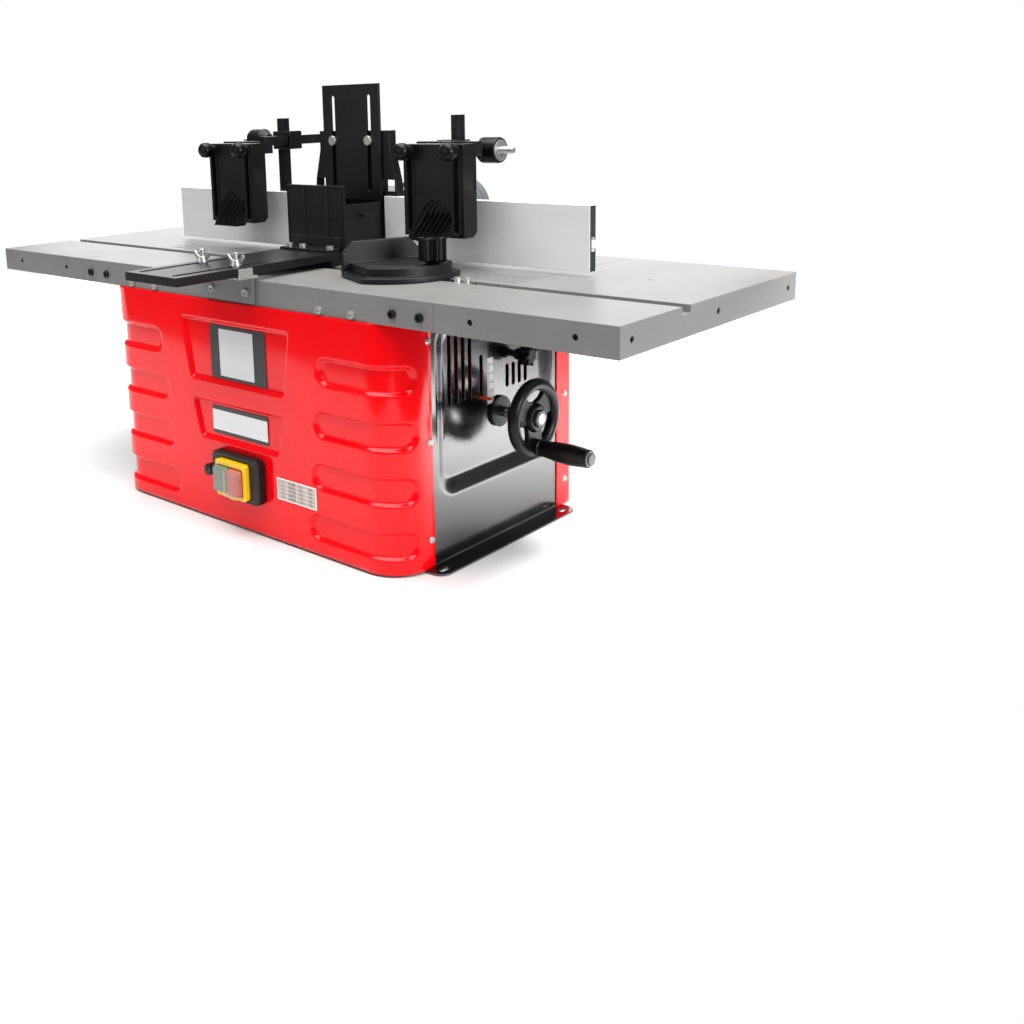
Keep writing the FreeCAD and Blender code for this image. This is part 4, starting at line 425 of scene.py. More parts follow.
bar_start, bar_drift, bar_low, bar_pitch = 116, 7, 34.5, 60.2
bars = [(bar_start + bar_drift * i, bar_low + bar_pitch * i) for i in range(4)]
bar_end, bar_round = 271.0, 16.5
# Each plate's recess: low and high place, then half width at each.
plates = [((175.5, 253.0), (84.0, 97.0)), ((103.1, 153.6), (70.0, 83.0))]


def pressed(run, z):
    """How far inside a pressed recess a point lies, in mm from its edge."""
    inside = -math.inf
    for start, middle in bars:
        reach = np.clip(abs(run), start + bar_round, bar_end - bar_round)
        inside = max(inside, bar_round - math.hypot(abs(run) - reach, z - middle))
    for (low, high), (narrow, wide) in plates:
        share = (z - low) / (high - low)
        gap_x = abs(run) - (narrow + (wide - narrow) * share) + PLATE_CORNER
        gap_z = abs(z - (low + high) / 2) - (high - low) / 2 + PLATE_CORNER
        away = math.hypot(max(gap_x, 0), max(gap_z, 0)) + min(max(gap_x, gap_z), 0)
        inside = max(inside, PLATE_CORNER - away)
    return inside


# Runs from the middle over which recesses begin or end.
near_runs = [(62, 104), (110, 160), (250, 276)]
run_zones = sorted([(-b, -a) for a, b in near_runs] + near_runs)
edge_zs = [z for _, middle in bars for z in (middle - bar_round, middle + bar_round)]
edge_zs += [z for (low, high), _ in plates for z in (low, high)]
z_zones = []
for edge in sorted(edge_zs):
    span = (edge - EDGE_ZONE, edge + EDGE_ZONE)
    if z_zones and span[0] <= z_zones[-1][1]:
        span = (z_zones.pop()[0], span[1])
    z_zones.append(span)
runs = stepped(-run_end, run_end, COARSE, FINE, run_zones)
levels = stepped(*panel_zs, COARSE, FINE, z_zones)
switch_lo, switch_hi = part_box("switch_housing")
hole_xs = (switch_lo.x / MM + SWITCH_LAP, switch_hi.x / MM - SWITCH_LAP)
hole_zs = (switch_lo.z / MM + SWITCH_LAP, switch_hi.z / MM - SWITCH_LAP)
sheet = bmesh.new()
columns = []
for run in runs:
    spot, inward = on_panel(run)
    column = []
    for z in levels:
        share = min(max(pressed(run, z) / PRESS_BLEND, 0), 1)
        swell = math.sin(min(z / panel_zs[1], 1) * math.pi)
        wave = WAVE * (1 - math.cos(run / WAVE_RUN + z / WAVE_RISE)) * swell
        depth = RECESS * share * share * (3 - 2 * share) + wave
        column.append(sheet.verts.new(row(spot[0] + inward[0] * depth, spot[1] + inward[1] * depth, z)))
    for lip in LIP_INSETS:
        column.append(sheet.verts.new(row(spot[0] + inward[0] * lip, spot[1] + inward[1] * lip, panel_zs[1])))
    columns.append(column)
for i in range(len(runs) - 1):
    for k in range(len(columns[0]) - 1):
        middle_x = (runs[i] + runs[i + 1]) / 2
        middle_z = (levels[k] + levels[k + 1]) / 2 if k + 1 < len(levels) else panel_zs[1]
        if hole_xs[0] < middle_x < hole_xs[1] and hole_zs[0] < middle_z < hole_zs[1]:
            continue
        a, b = columns[i], columns[i + 1]
        sheet.faces.new((a[k], b[k], b[k + 1], a[k + 1]))
panel_mesh = bpy.data.meshes.new("front_sheet")
sheet.to_mesh(panel_mesh)
sheet.free()
# Bright stoving enamel: a clear, mirror-like red with a faint orange peel.
red_enamel = finish(
    "red_stoving_enamel", ("#E2000B", "#EA030F"), (0.08, 0.14), 4.0, relief=0.006, drift=80.0,
    Specular_IOR_Level=0.3)
panel_mesh.materials.append(red_enamel)
panel_mesh.shade_smooth()
panel_holder = placed("holder", panel_mesh)
wall = panel_holder.modifiers.new("Wall", "SOLIDIFY")
wall.thickness = SHEET * MM
wall.offset = -1
keep("front_panel_sheet", plain(panel_holder), "frame", "front_panel")


# Rear panel: a plainer folded sheet in the same red, with the lead's black plastic gland.

softened("rear_panel", 0.4, red_enamel)
# Moulded nylon: dark, with a fine spark-eroded grain that breaks up the highlights.
black_nylon = finish(
    "black_moulded_nylon", ("#0B0B0C", "#121213"), (0.3, 0.44), 0.9, relief=0.02, drift=18.0,
    Specular_IOR_Level=0.32)
softened("cable_gland", 0.6, black_nylon)


# Bare plates in the two pressed recesses: thin printed aluminium, stuck on and left blank.

def badge(name, border_xs, border_zs, field_xs, field_zs, border):
    """Stuck plate with a blank light field, in a recess of the front."""
    face = panel_nose + RECESS
    back = bmesh.new()
    box(back, border_xs, (face - 0.6, face - 0.05), border_zs)
    field = bmesh.new()
    box(field, field_xs, (face - 0.8, face - 0.6), field_zs)
    meshes = [rounded(back, 0.2, border), rounded(field, 0.08, silver_print)]
    return keep(name, merged(*meshes), "frame")


# Printed aluminium foil: a pale satin with a fine drawn grain along the plate.
silver_print = finish(
    "silver_printed_foil", ("#C9CBCC", "#D5D6D7"), (0.28, 0.4), 1.2, stretch=(0.08, 1, 1), Metallic=0.35)
# Dark print on the same foil: near-black, with the foil's grain in its sheen.
dark_print = finish("dark_printed_foil", ("#1A1B1D", "#232427"), (0.3, 0.42), 1.2, stretch=(0.08, 1, 1))
badge("upper_plate", (-47, 52), (181, 246), (-30, 31), (185, 242), dark_print)
badge("lower_plate", (-50, 49.5), (112, 146.5), (-50, 49.5), (116.5, 141.5), dark_print)


# Speed chart: a small white printed sticker beside the switch, ruled in cells
# with plain numbers for the dial's steps.

chart_xs, chart_zs, chart_margin = (66.0, 131.0), (54.0, 80.0), 1.6
column_step, row_step, rule_width, rule_thick = 15.4, 4.56, 0.4, 0.06
rule_lengths, chart_number_height = (61.6, 22.6), 3.6
facing_front = Matrix(((1, 0, 0, 0), (0, 0, -1, 0), (0, 1, 0, 0), (0, 0, 0, 1)))
sticker = bmesh.new()
box(sticker, chart_xs, (panel_nose - 0.25, panel_nose - 0.02), chart_zs)
# The chart's ground is printed in a warm grey inside a white margin.
chart_ground = finish("grey_printed_vinyl", ("#A99C94", "#B4A89F"), (0.34, 0.44), 1.5)
ground = bmesh.new()
box(
    ground, (chart_xs[0] + chart_margin, chart_xs[1] - chart_margin), (panel_nose - 0.29, panel_nose - 0.2),
    (chart_zs[0] + chart_margin, chart_zs[1] - chart_margin))
chart_parts = [rounded(sticker, 0.08, white_vinyl), rounded(ground, 0.02, chart_ground)]
chart_middle, chart_level = sum(chart_xs) / 2, sum(chart_zs) / 2
rule_face, digit_face = panel_nose - 0.3, panel_nose - 0.31
chart_parts.append(lines(
    [(chart_middle, rule_face, chart_level + row_step * (i - 1.5)) for i in range(4)],
    (rule_lengths[0], rule_thick, rule_width), white_vinyl))
chart_parts.append(lines(
    [(chart_middle + column_step * (i - 1), rule_face, chart_level) for i in range(3)],
    (rule_width, rule_thick, rule_lengths[1]), white_vinyl))
for k in range(5):
    for i, value in enumerate((k + 1, 11500 + 3125 * k, 6 + 2 * k, 60 - 10 * k)):
        spot = row(chart_middle + column_step * (i - 1.5), digit_face, chart_level + row_step * (2 - k))
        chart_parts.append(number(
            str(value), chart_number_height, Matrix.Translation(spot) @ facing_front, black_ink))
keep("speed_chart", merged(*chart_parts), "frame")


# Panel screws: zinc-plated pan heads with a cross recess, three at each lap of the cabinet.

def screws_in(node):
    """Each screw of a group: the place of its head's end and the way that it faces."""
    shape = welded(node)
    left, found = dict.fromkeys(shape.verts), []
    while left:
        island, front = set(), [left.popitem()[0]]
        while front:
            vert = front.pop()
            island.add(vert)
            for edge in vert.link_edges:
                other = edge.other_vert(vert)
                if other in left:
                    del left[other]
                    front.append(other)
        places = np.array([v.co[:] for v in island])
        low, high = places.min(0), places.max(0)
        axis = int(np.argmax(high - low))
        middle = (low + high) / 2
        sides = [a for a in range(3) if a != axis]
        spread = []
        for end in (low[axis], high[axis]):
            near = places[abs(places[:, axis] - end) < 0.3 * MM][:, sides] - middle[sides]
            spread.append(np.hypot(near[:, 0], near[:, 1]).max())
        out = np.zeros(3)
        out[axis] = 1 if spread[1] > spread[0] else -1
        head = middle.copy()
        head[axis] = high[axis] if out[axis] > 0 else low[axis]
        found.append((Vector(head), Vector(out)))
    shape.free()
    return found


def screw_tree(name, head, cutter):
    """Tree that sets a head with a cut recess, and its shank, at each place."""
    tree, values = new_tree(name, {
        "Radius": "Float", "Height": "Float", "Shank": "Float", "Length": "Float", "Material": "Material"})
    cap, recess = head(tree, values), cutter(tree, values)
    cut_head = add(tree, "GeometryNodeMeshBoolean", {"Mesh 1": cap, "Mesh 2": recess}, operation="DIFFERENCE")
    shank = add(tree, "GeometryNodeMeshCylinder", {
        "Vertices": 16, "Radius": values["Shank"], "Depth": values["Length"]}).outputs[0]
    drop = add(tree, "ShaderNodeMath", {0: values["Length"], 1: -0.5}, operation="MULTIPLY").outputs[0]
    drop = add(tree, "ShaderNodeMath", {0: drop, 1: values["Height"]}, operation="SUBTRACT").outputs[0]
    low = add(tree, "ShaderNodeCombineXYZ", {"Z": drop}).outputs[0]
    shank = add(tree, "GeometryNodeTransform", {"Geometry": shank, "Translation": low}).outputs[0]
    whole = add(tree, "GeometryNodeJoinGeometry", {"Geometry": shank})
    tree.links.new(cut_head.outputs[0], whole.inputs[0])
    out = add(tree, "GeometryNodeInputNamedAttribute", {"Name": "out"}, data_type="FLOAT_VECTOR").outputs[0]
    turn = add(tree, "FunctionNodeAlignRotationToVector", {"Vector": out}, axis="Z").outputs[0]
    spots = add(tree, "GeometryNodeInstanceOnPoints", {
        "Points": values["Places"], "Instance": whole.outputs[0], "Rotation": turn}).outputs[0]
    end_tree(tree, spots, values["Material"])
    return tree


def sunk(tree, values, mesh, share):
    """Lower a mesh by a share of the head's height."""
    drop = add(tree, "ShaderNodeMath", {0: values["Height"], 1: -share}, operation="MULTIPLY").outputs[0]
    low = add(tree, "ShaderNodeCombineXYZ", {"Z": drop}).outputs[0]
    return add(tree, "GeometryNodeTransform", {"Geometry": mesh, "Translation": low}).outputs[0]


def pan_head(tree, values):
    """Low head that narrows to its top."""
    top = add(tree, "ShaderNodeMath", {0: values["Radius"], 1: 0.62}, operation="MULTIPLY").outputs[0]
    dome = add(tree, "GeometryNodeMeshCone", {
        "Vertices": 24, "Radius Top": top, "Radius Bottom": values["Radius"],
        "Depth": values["Height"]}).outputs[0]
    return sunk(tree, values, dome, 1.0)


def cross_recess(tree, values):
    """Two crossed bars that cut the driver's recess."""
    arms = []
    for long_side in (0, 1):
        sizes = []
        for axis in (0, 1):
            share = 1.05 if axis == long_side else 0.26
            sizes.append(add(tree, "ShaderNodeMath", {
                0: values["Radius"], 1: share}, operation="MULTIPLY").outputs[0])
        size = add(tree, "ShaderNodeCombineXYZ", {
            "X": sizes[0], "Y": sizes[1], "Z": values["Height"]}).outputs[0]
        arms.append(add(tree, "GeometryNodeMeshCube", {"Size": size}).outputs[0])
    cross = add(tree, "GeometryNodeMeshBoolean", {"Mesh 2": arms[0]}, operation="UNION")
    tree.links.new(arms[1], cross.inputs["Mesh 2"])
    return cross.outputs[0]


# Zinc plate: a bright, slightly clouded metal.
zinc = finish("zinc_plated_steel", ("#C4C4C0", "#D2D2CE"), (0.24, 0.34), 1.5, drift=14.0, Metallic=0.8)
pan_tree = screw_tree("pan_head_screws", pan_head, cross_recess)


def screw_values(material, **sizes):
    """Inputs of a screw tree, from sizes in mm."""
    return {**{name: size * MM for name, size in sizes.items()}, "Material": material}


def screwed(node, tree, material, **sizes):
    """Stand in for a group of screws with real heads, sizes in mm."""
    found = screws_in(node)
    values = screw_values(material, **sizes)
    mesh = grown(tree, [head for head, _ in found], values, out=[out for _, out in found])
    return keep(f"{node}_heads", mesh, nodes[node]["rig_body"], node)


screwed("panel_screws", pan_tree, zinc, Radius=4.0, Height=2.4, Shank=2.0, Length=7.0)


# Switch: a moulded black box with a raised yellow plate, a green start button, a red
# stop button and clear splash covers; it is clipped into the front panel.

def outline_round(xs, zs, radius, steps=6):
    """Corner points of a rectangle with rounded corners, in order."""
    points = []
    for cx, cz, start in ((xs[1], zs[1], 0), (xs[0], zs[1], 90), (xs[0], zs[0], 180), (xs[1], zs[0], 270)):
        px = cx - math.copysign(radius, cx - sum(xs) / 2)
        pz = cz - math.copysign(radius, cz - sum(zs) / 2)
        for i in range(steps + 1):
            turn = math.radians(start + 90 * i / steps)
            points.append((px + radius * math.cos(turn), pz + radius * math.sin(turn)))
    return points


def frame_block(outer, inner, ys, shape):
    """Add a ring between two outlines of like count, between two depths in mm."""
    rings = []
    for outline, y in ((outer, ys[1]), (outer, ys[0]), (inner, ys[0]), (inner, ys[1])):
        rings.append([shape.verts.new(row(x, y, z)) for x, z in outline])
    for a, b in zip(rings, rings[1:] + rings[:1]):
        band(shape, a, b)
    bmesh.ops.recalc_face_normals(shape, faces=shape.faces)


def in_mm(node):
    """Low and high places of a node in mm about the table."""
    low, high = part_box(node)
    return [(low[a] / MM - back, high[a] / MM - back) for a, back in enumerate((0, BACK_MM, 0))]


housing_xs, _, housing_zs = in_mm("switch_housing")
_, plate_ys, _ = in_mm("switch_plate")
plate_xs, plate_zs = (-23.5, 30.0), (45.1, 89.5)
window_xs, window_zs = (-21.0, 25.1), (50.0, 83.0)
tab_xs, tab_zs, tab_set_back = (-2.0, 9.0), (42.6, 46.0), 1.5
housing_rise, housing_corner, seat_corner, plate_corner, window_corner = 12.0, 9, 3, 4, 2
case = bmesh.new()
frame_block(
    outline_round(housing_xs, housing_zs, housing_corner), outline_round(plate_xs, plate_zs, seat_corner),
    (panel_nose - housing_rise, panel_nose), case)
keep("switch_case", rounded(case, 2.0, black_nylon, steps=4, angle=50), "frame", "switch_housing")

# Yellow ABS moulding: saturated and even, with a low satin gloss.
yellow_abs = finish("yellow_moulded_abs", ("#E3B405", "#EDC011"), (0.24, 0.34), 1.2, relief=0.008, drift=25.0)
face_plate = bmesh.new()
frame_block(
    outline_round(plate_xs, plate_zs, plate_corner), outline_round(window_xs, window_zs, window_corner),
    plate_ys, face_plate)
plate_tab = bmesh.new()
box(plate_tab, tab_xs, (plate_ys[0] + tab_set_back, plate_ys[1]), tab_zs)
plate_parts = [
    rounded(face_plate, 0.9, yellow_abs, steps=3, angle=50), rounded(plate_tab, 0.8, yellow_abs)]
keep("switch_face_plate", merged(*plate_parts), "frame", "switch_plate")
# Button mouldings: a dull green and a warm red, as smooth as the plate.
green_abs = finish("green_moulded_abs", ("#44684A", "#4D7254"), (0.22, 0.32), 1.2, relief=0.008, drift=14.0)
red_abs = finish("red_moulded_abs", ("#B83018", "#C23A20"), (0.22, 0.32), 1.2, relief=0.008, drift=14.0)

# Clear silicone: milky and see-through, with a soft rounded highlight.
clear_cover = finish(
    "clear_silicone", ("#B4B8B0", "#BEC2BA"), (0.16, 0.26), 6.0, relief=0.01, drift=30.0,
    Alpha=0.26, IOR=1.41)


SHOULDER_SHARE, CROWN_SHARE = 0.35, 1.3


def button_block(xs, zs, ys, corner, dome):
    """Shape of a moulded button in mm, its front drawn in over a dome."""
    shape = bmesh.new()
    rings = []
    shoulder, crown = SHOULDER_SHARE * dome, CROWN_SHARE * dome
    for draw_in, y in ((0, ys[1]), (0, ys[0] + dome), (shoulder, ys[0] + shoulder), (crown, ys[0])):
        outline = outline_round(
            (xs[0] + draw_in, xs[1] - draw_in), (zs[0] + draw_in, zs[1] - draw_in), corner)
        rings.append([shape.verts.new(row(x, y, z)) for x, z in outline])
    for a, b in zip(rings, rings[1:]):
        band(shape, a, b)
    shape.faces.new(rings[-1])
    shape.faces.new(rings[0])
    bmesh.ops.recalc_face_normals(shape, faces=shape.faces)
    return shape


button_corner, button_dome, cover_corner, cover_dome = 2.0, 1.6, 3.0, 2.2
cover_gap, cover_seat = 0.3, 0.4
for button, coat_of, zs, cover_rise in (
        ("start", green_abs, (52.6, 82.4), 2.2), ("stop", red_abs, (50.6, 82.0), 6.0)):
    button_xs, button_ys, _ = in_mm(f"{button}_button")
    body = button_block(button_xs, zs, button_ys, button_corner, button_dome)
    keep(f"{button}_button_moulding", rounded(body, 0.3, coat_of, angle=50), button, f"{button}_button")
    cover_xs = (button_xs[0] - cover_gap, button_xs[1] + cover_gap)
    cover_ys = (button_ys[0] - cover_rise, plate_ys[0] - cover_seat)
    cover_zs = (zs[0] - cover_gap, zs[1] + cover_gap)
    cover = button_block(cover_xs, cover_zs, cover_ys, cover_corner, cover_dome)
    keep(f"{button}_cover", rounded(cover, 0.3, clear_cover, angle=50), button)


# Speed dial: a small round black knob with a raised mark, on the control's shaft,
# left of the switch.

softened("speed_dial", 0.8, black_nylon)


# Lift: ground columns and a cast frame hang under the table; bevel gears take the
# handwheel's turning to a trapezoid-thread screw.

# Ground steel: bright, with a faint lengthwise grinding grain.
ground_steel = finish(
    "ground_steel", ("#8E9092", "#B4B6B8"), (0.16, 0.28), 0.8, stretch=(1, 1, 0.05), Metallic=1.0)
# Blackened steel: a dark oxide with worn, brighter clouds. On the shaft's bearing and in the wings' apron
# holes, its dark is painted shade.
dark_steel = finish(
    "blackened_steel_and_shade", ("#1B1C1E", "#2E3033"), (0.3, 0.46), 1.2, relief=0.01, drift=9.0, Metallic=0.7)
# Cast iron under thin grey paint: coarse sand-cast grain.
frame_iron = finish("painted_cast_iron", ("#3A3D40", "#46494C"), (0.45, 0.62), 1.6, relief=0.12)


def coat(material, *names):
    """Give CAD nodes a finish."""
    for name in names:
        for slot in nodes[name].material_slots:
            slot.material = material


coat(ground_steel, "guide_columns", "handwheel_shaft", "lead_screw")
# The bearing's flange lies on the pressed field, so it moves in with it.
bearing = welded("shaft_bearing")
for vert in bearing.verts:
    if vert.co.x > (SIDE_FACE - OVERLAP / 2) * MM:
        vert.co.x -= PRESS * MM
# The bearing takes the dark steel so that it reads as the shade behind the wheel's hub: painted shade.
keep("shaft_bearing_turning", rounded(bearing, 0.4, dark_steel), "frame", "shaft_bearing")
softened("lift_frame", 1.0, frame_iron)
softened("motor_carrier", 1.0, frame_iron)
softened("height_pointer", 0.4, red_abs)


# Motor: a die-cast housing with a wound stator and a laminated rotor; the spindle
# runs in two ball bearings and ends in a collet with its nut.

# Die-cast aluminium: a mid grey skin with a soft cast grain.
motor_alloy = finish(
    "die_cast_aluminium", ("#5B5E61", "#6A6D70"), (0.4, 0.56), 1.4, relief=0.06, Metallic=0.8)
# Stacked iron sheets: brown-grey, with fine level lines.
motor_iron = finish(
    "laminated_iron", ("#3F3A36", "#57504A"), (0.38, 0.52), 0.6, stretch=(1, 1, 6), Metallic=0.9)
# Polished bearing steel: bright and smooth.
bearing_steel = finish("bearing_steel", ("#9B9DA0", "#BCBEC1"), (0.12, 0.2), 0.8, Metallic=1.0)
coat(motor_alloy, "motor_housing", "motor_cap")
coat(motor_iron, "motor_stator", "motor_rotor")
coat(bearing_steel, "spindle_bearings")
coat(ground_steel, "spindle_shaft", "collet")
coat(dark_steel, "collet_nut")


# Handwheel: a moulded black wheel on the lift shaft, with a fat rounded rim, three broad
# spokes and a boss for the crank grip; a zinc nut on the shaft's end holds it.

AXES = {
    "x": (Vector((1, 0, 0)), Vector((0, 1, 0)), Vector((0, 0, 1))),
    "y": (Vector((0, 1, 0)), Vector((0, 0, 1)), Vector((1, 0, 0))),
    "z": (Vector((0, 0, 1)), Vector((1, 0, 0)), Vector((0, 1, 0))),
}


def turned(profile, along, at, steps=56, ring=False, shape=None):
    """Add a turned shape: radii and distances in mm about an axis from a place."""
    axis, side, up = AXES[along]
    shape = shape or bmesh.new()
    rings = []
    for radius, far in profile:
        middle = row(*at) + axis * far * MM
        turns = [2 * math.pi * i / steps for i in range(steps)] if radius else [0]
        rings.append([
            shape.verts.new(middle + (side * math.cos(t) + up * math.sin(t)) * radius * MM) for t in turns])
    for a, b in list(zip(rings, rings[1:])) + ([(rings[-1], rings[0])] if ring else []):
        for i in range(steps):
            k = (i + 1) % steps
            corners = (a[i % len(a)], a[k % len(a)], b[k % len(b)], b[i % len(b)])
            shape.faces.new(list(dict.fromkeys(corners)))
    bmesh.ops.recalc_face_normals(shape, faces=shape.faces)
    return shape


def prism(outline, along, span, at, shape=None):
    """Add a block of an outline in mm about a place, between two distances along an axis."""
    axis, side, up = AXES[along]
    shape = shape or bmesh.new()
    ends = []
    for far in span:
        ends.append([shape.verts.new(row(*at) + (axis * far + side * u + up * v) * MM) for u, v in outline])
    shape.faces.new(ends[0])
    shape.faces.new(ends[1])
    band(shape, *ends)
    bmesh.ops.recalc_face_normals(shape, faces=shape.faces)
    return shape


wheel_xs, wheel_ys, wheel_zs = in_mm("handwheel")
wheel_radius, rim_round, rim_steps = 44.5, 7.0, 28
hub_radius, hub_flare, shaft_bore = 14.0, 3, 6.1
crank_throw, boss_radius, crank_bore = 34.0, 9.5, 4.1
# Distance from the axis and half width of a web.
web_outline = ((10, -14), (20, -12.5), (33, -15.5), (33, 15.5), (20, 12.5), (10, 14))
wheel_length = wheel_xs[1] - wheel_xs[0]
wheel_at = (wheel_xs[0], sum(wheel_ys) / 2, sum(wheel_zs) / 2)
rim_back = wheel_length - rim_round * 2
rim = []
for i in range(rim_steps):
    turn = 2 * math.pi * i / rim_steps
    rim.append((
        wheel_radius - rim_round + rim_round * math.cos(turn),
        rim_back + rim_round + rim_round * math.sin(turn)))
wheel_parts = []
# Moulded phenolic: near-black, with a soft satin from handling.
wheel_black = finish(
    "black_moulded_phenolic", ("#060607", "#0B0B0C"), (0.28, 0.4), 1.0, relief=0.015, drift=22.0,
    Specular_IOR_Level=0.25)
wheel_parts.append(rounded(turned(rim, "x", wheel_at, steps=96, ring=True), 0.01, wheel_black))
wheel_parts.append(rounded(turned([
    (shaft_bore, 0), (hub_radius, 0), (hub_radius, rim_back), (hub_radius + hub_flare, rim_back + 2),
    (hub_radius + hub_flare, rim_back + 8), (hub_radius, wheel_length), (shaft_bore, wheel_length)],
    "x", wheel_at, ring=True), 1.0, wheel_black))
web = bmesh.new()
for i in range(3):
    turn = math.radians(270 + 120 * i)
    out, across = Vector((math.cos(turn), math.sin(turn))), Vector((-math.sin(turn), math.cos(turn)))
    outline = [tuple(out * far + across * half) for far, half in web_outline]
    prism(outline, "x", (rim_back + 2.5, rim_back + 9), wheel_at, web)
wheel_parts.append(rounded(web, 1.5, wheel_black, steps=3))
crank_at = (wheel_at[0], wheel_at[1], wheel_at[2] - crank_throw)
wheel_parts.append(rounded(turned(
    [(crank_bore, rim_back), (boss_radius, rim_back), (boss_radius, wheel_length),
     (crank_bore, wheel_length)], "x", crank_at, ring=True), 1.0, wheel_black))
keep("handwheel_moulding", merged(*wheel_parts), "wheel", "handwheel")


# Crank grip: a turned black handle that spins on the crank bolt, with a neck,
# fine ribs over its belly and a grey end disc.

grip_xs, grip_ys, grip_zs = in_mm("crank_grip")
neck_radius, neck_length, swell, swell_share, taper = 9.0, 6, 3.0, 0.62, 1.6
groove_depth, groove_shares, belly_steps, groove_steps = 0.2, (0.1, 0.92), 60, 4
grip_length = grip_xs[1] - grip_xs[0]
grip_at = (grip_xs[0], sum(grip_ys) / 2, sum(grip_zs) / 2)
belly = [
    (crank_bore, 0), (9.6, 0), (10.2, 0.6), (10.2, 2.4), (9.2, 3.2), (neck_radius, neck_length)]
for i in range(1, belly_steps):
    share = i / belly_steps
    radius = neck_radius + swell * math.sin(min(share / swell_share, 1) * math.pi / 2) ** 1.3
    if share > swell_share:
        radius -= taper * ((share - swell_share) / (1 - swell_share)) ** 1.6
    if groove_shares[0] < share < groove_shares[1]:
        radius -= groove_depth * (0.5 - 0.5 * math.cos(2 * math.pi * i / groove_steps))
    belly.append((radius, neck_length + (grip_length - 10) * share))
belly += [(10.3, grip_length - 3.4), (10.3, grip_length - 1), (9.4, grip_length), (crank_bore, grip_length)]
grip_mesh = rounded(turned(belly, "x", grip_at, steps=64, ring=True), 0.05, wheel_black)
# Moulded end cap: a plain satin grey.
grip_end = finish("grey_moulded_cap", ("#7C7D7E", "#88898A"), (0.4, 0.52), 1.2, relief=0.01)
grip_disc = rounded(turned(
    [(4.3, grip_length - 0.6), (8.6, grip_length - 0.6), (8.6, grip_length + 0.2), (4.3, grip_length + 0.2)],
    "x", grip_at, ring=True), 0.15, grip_end)
keep("crank_grip_turning", merged(grip_mesh, grip_disc), "grip", "crank_grip")


# Wheel nuts: the crank's bolt and a hexagon nut on the end of the lift shaft,
# plated steel darkened with painted shade.

# Zinc with painted shade: greyer and darker than the screws' zinc.
shaded_zinc = finish("zinc_painted_shade", ("#5C5B58", "#6E6D69"), (0.42, 0.56), 1.5, drift=8.0, Metallic=0.7)
nut_round, nut_gap, nut_end = 10.4, 0.1, 3.8
corners = [math.radians(60 * i) for i in range(6)]
hexagon = [(nut_round * math.cos(turn), nut_round * math.sin(turn)) for turn in corners]
hub_nut = rounded(
    prism(hexagon, "x", (wheel_length + nut_gap, wheel_length + nut_end), wheel_at), 0.7, shaded_zinc)
keep("wheel_nuts", merged(eased("wheel_bolts", 0.6, shaded_zinc), hub_nut), "wheel", "wheel_bolts")


# Height lock: a moulded black knob with seven lobes, on a stud through the right panel.

softened("lock_knob", 1.2, wheel_black)


# Main table and wings: ribbed aluminium castings with deep aprons, coated grey;
# the top has a mitre slot, fine grooves and the bore for the spindle's insert ring.

# Textured grey powder paint: satin, with a fine pebble that breaks the sheen.
table_grey = finish(
    "grey_powder_paint", ("#6E6D6B", "#767573"), (0.38, 0.48), 1.1, relief=0.025, drift=90.0, IOR=1.5)
softened("main_table", 0.7, table_grey)
softened("left_extension", 0.7, table_grey)
softened("right_extension", 0.7, table_grey)
# Brushed steel: bright, with a grain drawn one way.
insert_steel = finish(
    "brushed_steel", ("#7E8082", "#999B9D"), (0.26, 0.38), 0.7, stretch=(0.1, 1, 1), Metallic=1.0)
softened("insert_ring", 0.4, insert_steel)


# Table screws: socket heads, zinc where they hold the cabinet, the hood and the guard's
# rail, and black oxide at the wings' brackets.

def cap_head(tree, values):
    """Straight round head."""
    cap = add(tree, "GeometryNodeMeshCylinder", {
        "Vertices": 24, "Radius": values["Radius"], "Depth": values["Height"]}).outputs[0]
    return sunk(tree, values, cap, 0.5)


def socket_recess(tree, values):
    """Hexagon bar that cuts the key's socket."""
    radius = add(tree, "ShaderNodeMath", {0: values["Radius"], 1: 0.58}, operation="MULTIPLY").outputs[0]
    return add(tree, "GeometryNodeMeshCylinder", {
        "Vertices": 6, "Radius": radius, "Depth": values["Height"]}).outputs[0]


cap_tree = screw_tree("socket_head_screws", cap_head, socket_recess)
bracket_side = 240 * MM
screw_meshes = []
found_screws = screws_in("table_screws")
for is_dark, screw_finish in ((False, zinc), (True, dark_steel)):
    chosen = [(head, out) for head, out in found_screws if (abs(head.x) > bracket_side) == is_dark]
    screw_sizes = screw_values(screw_finish, Radius=4.6, Height=3.0, Shank=2.4, Length=5.0)
    screw_meshes.append(grown(
        cap_tree, [head for head, _ in chosen], screw_sizes, out=[out for _, out in chosen]))
keep("table_screw_heads", merged(*screw_meshes), "frame", "table_screws")

# Blackened plugs fill the holes in the wings' aprons; their dark stands for the shade inside the holes:
# painted shade.
plug_level, apron_face, end_face = 291, 178.8, 510.8
apron_plug_xs, end_plug_ys = (350.0, 467.0), (-160.0, 0.0, 160.0)
plug_spots, plug_ways = [], []
for side in (-1, 1):
    for x in apron_plug_xs:
        for facing in (-1, 1):
            plug_spots.append(row(side * x, facing * apron_face, plug_level))
            plug_ways.append((0, facing, 0))
    for y in end_plug_ys:
        plug_spots.append(row(side * end_face, y, plug_level))
        plug_ways.append((side, 0, 0))
plug_sizes = screw_values(dark_steel, Radius=3.15, Height=2.6, Shank=2.0, Length=0.6)
keep("wing_hole_shade_plugs", grown(cap_tree, plug_spots, plug_sizes, out=plug_ways), "frame")


# Hood: a moulded black box behind the cutter, with a tower for the guard plate and
# a grey dust port at its back for the extraction hose.

# Glass-filled nylon: black, matt on the broad faces and greyer where the fibres show.
hood_nylon = finish(
    "black_glass_filled_nylon", ("#0D0D0E", "#151516"), (0.32, 0.46), 0.8, relief=0.02, drift=40.0,
    Specular_IOR_Level=0.32)
softened("fence_hood", 0.8, hood_nylon)
softened("guard_plate", 0.8, hood_nylon)
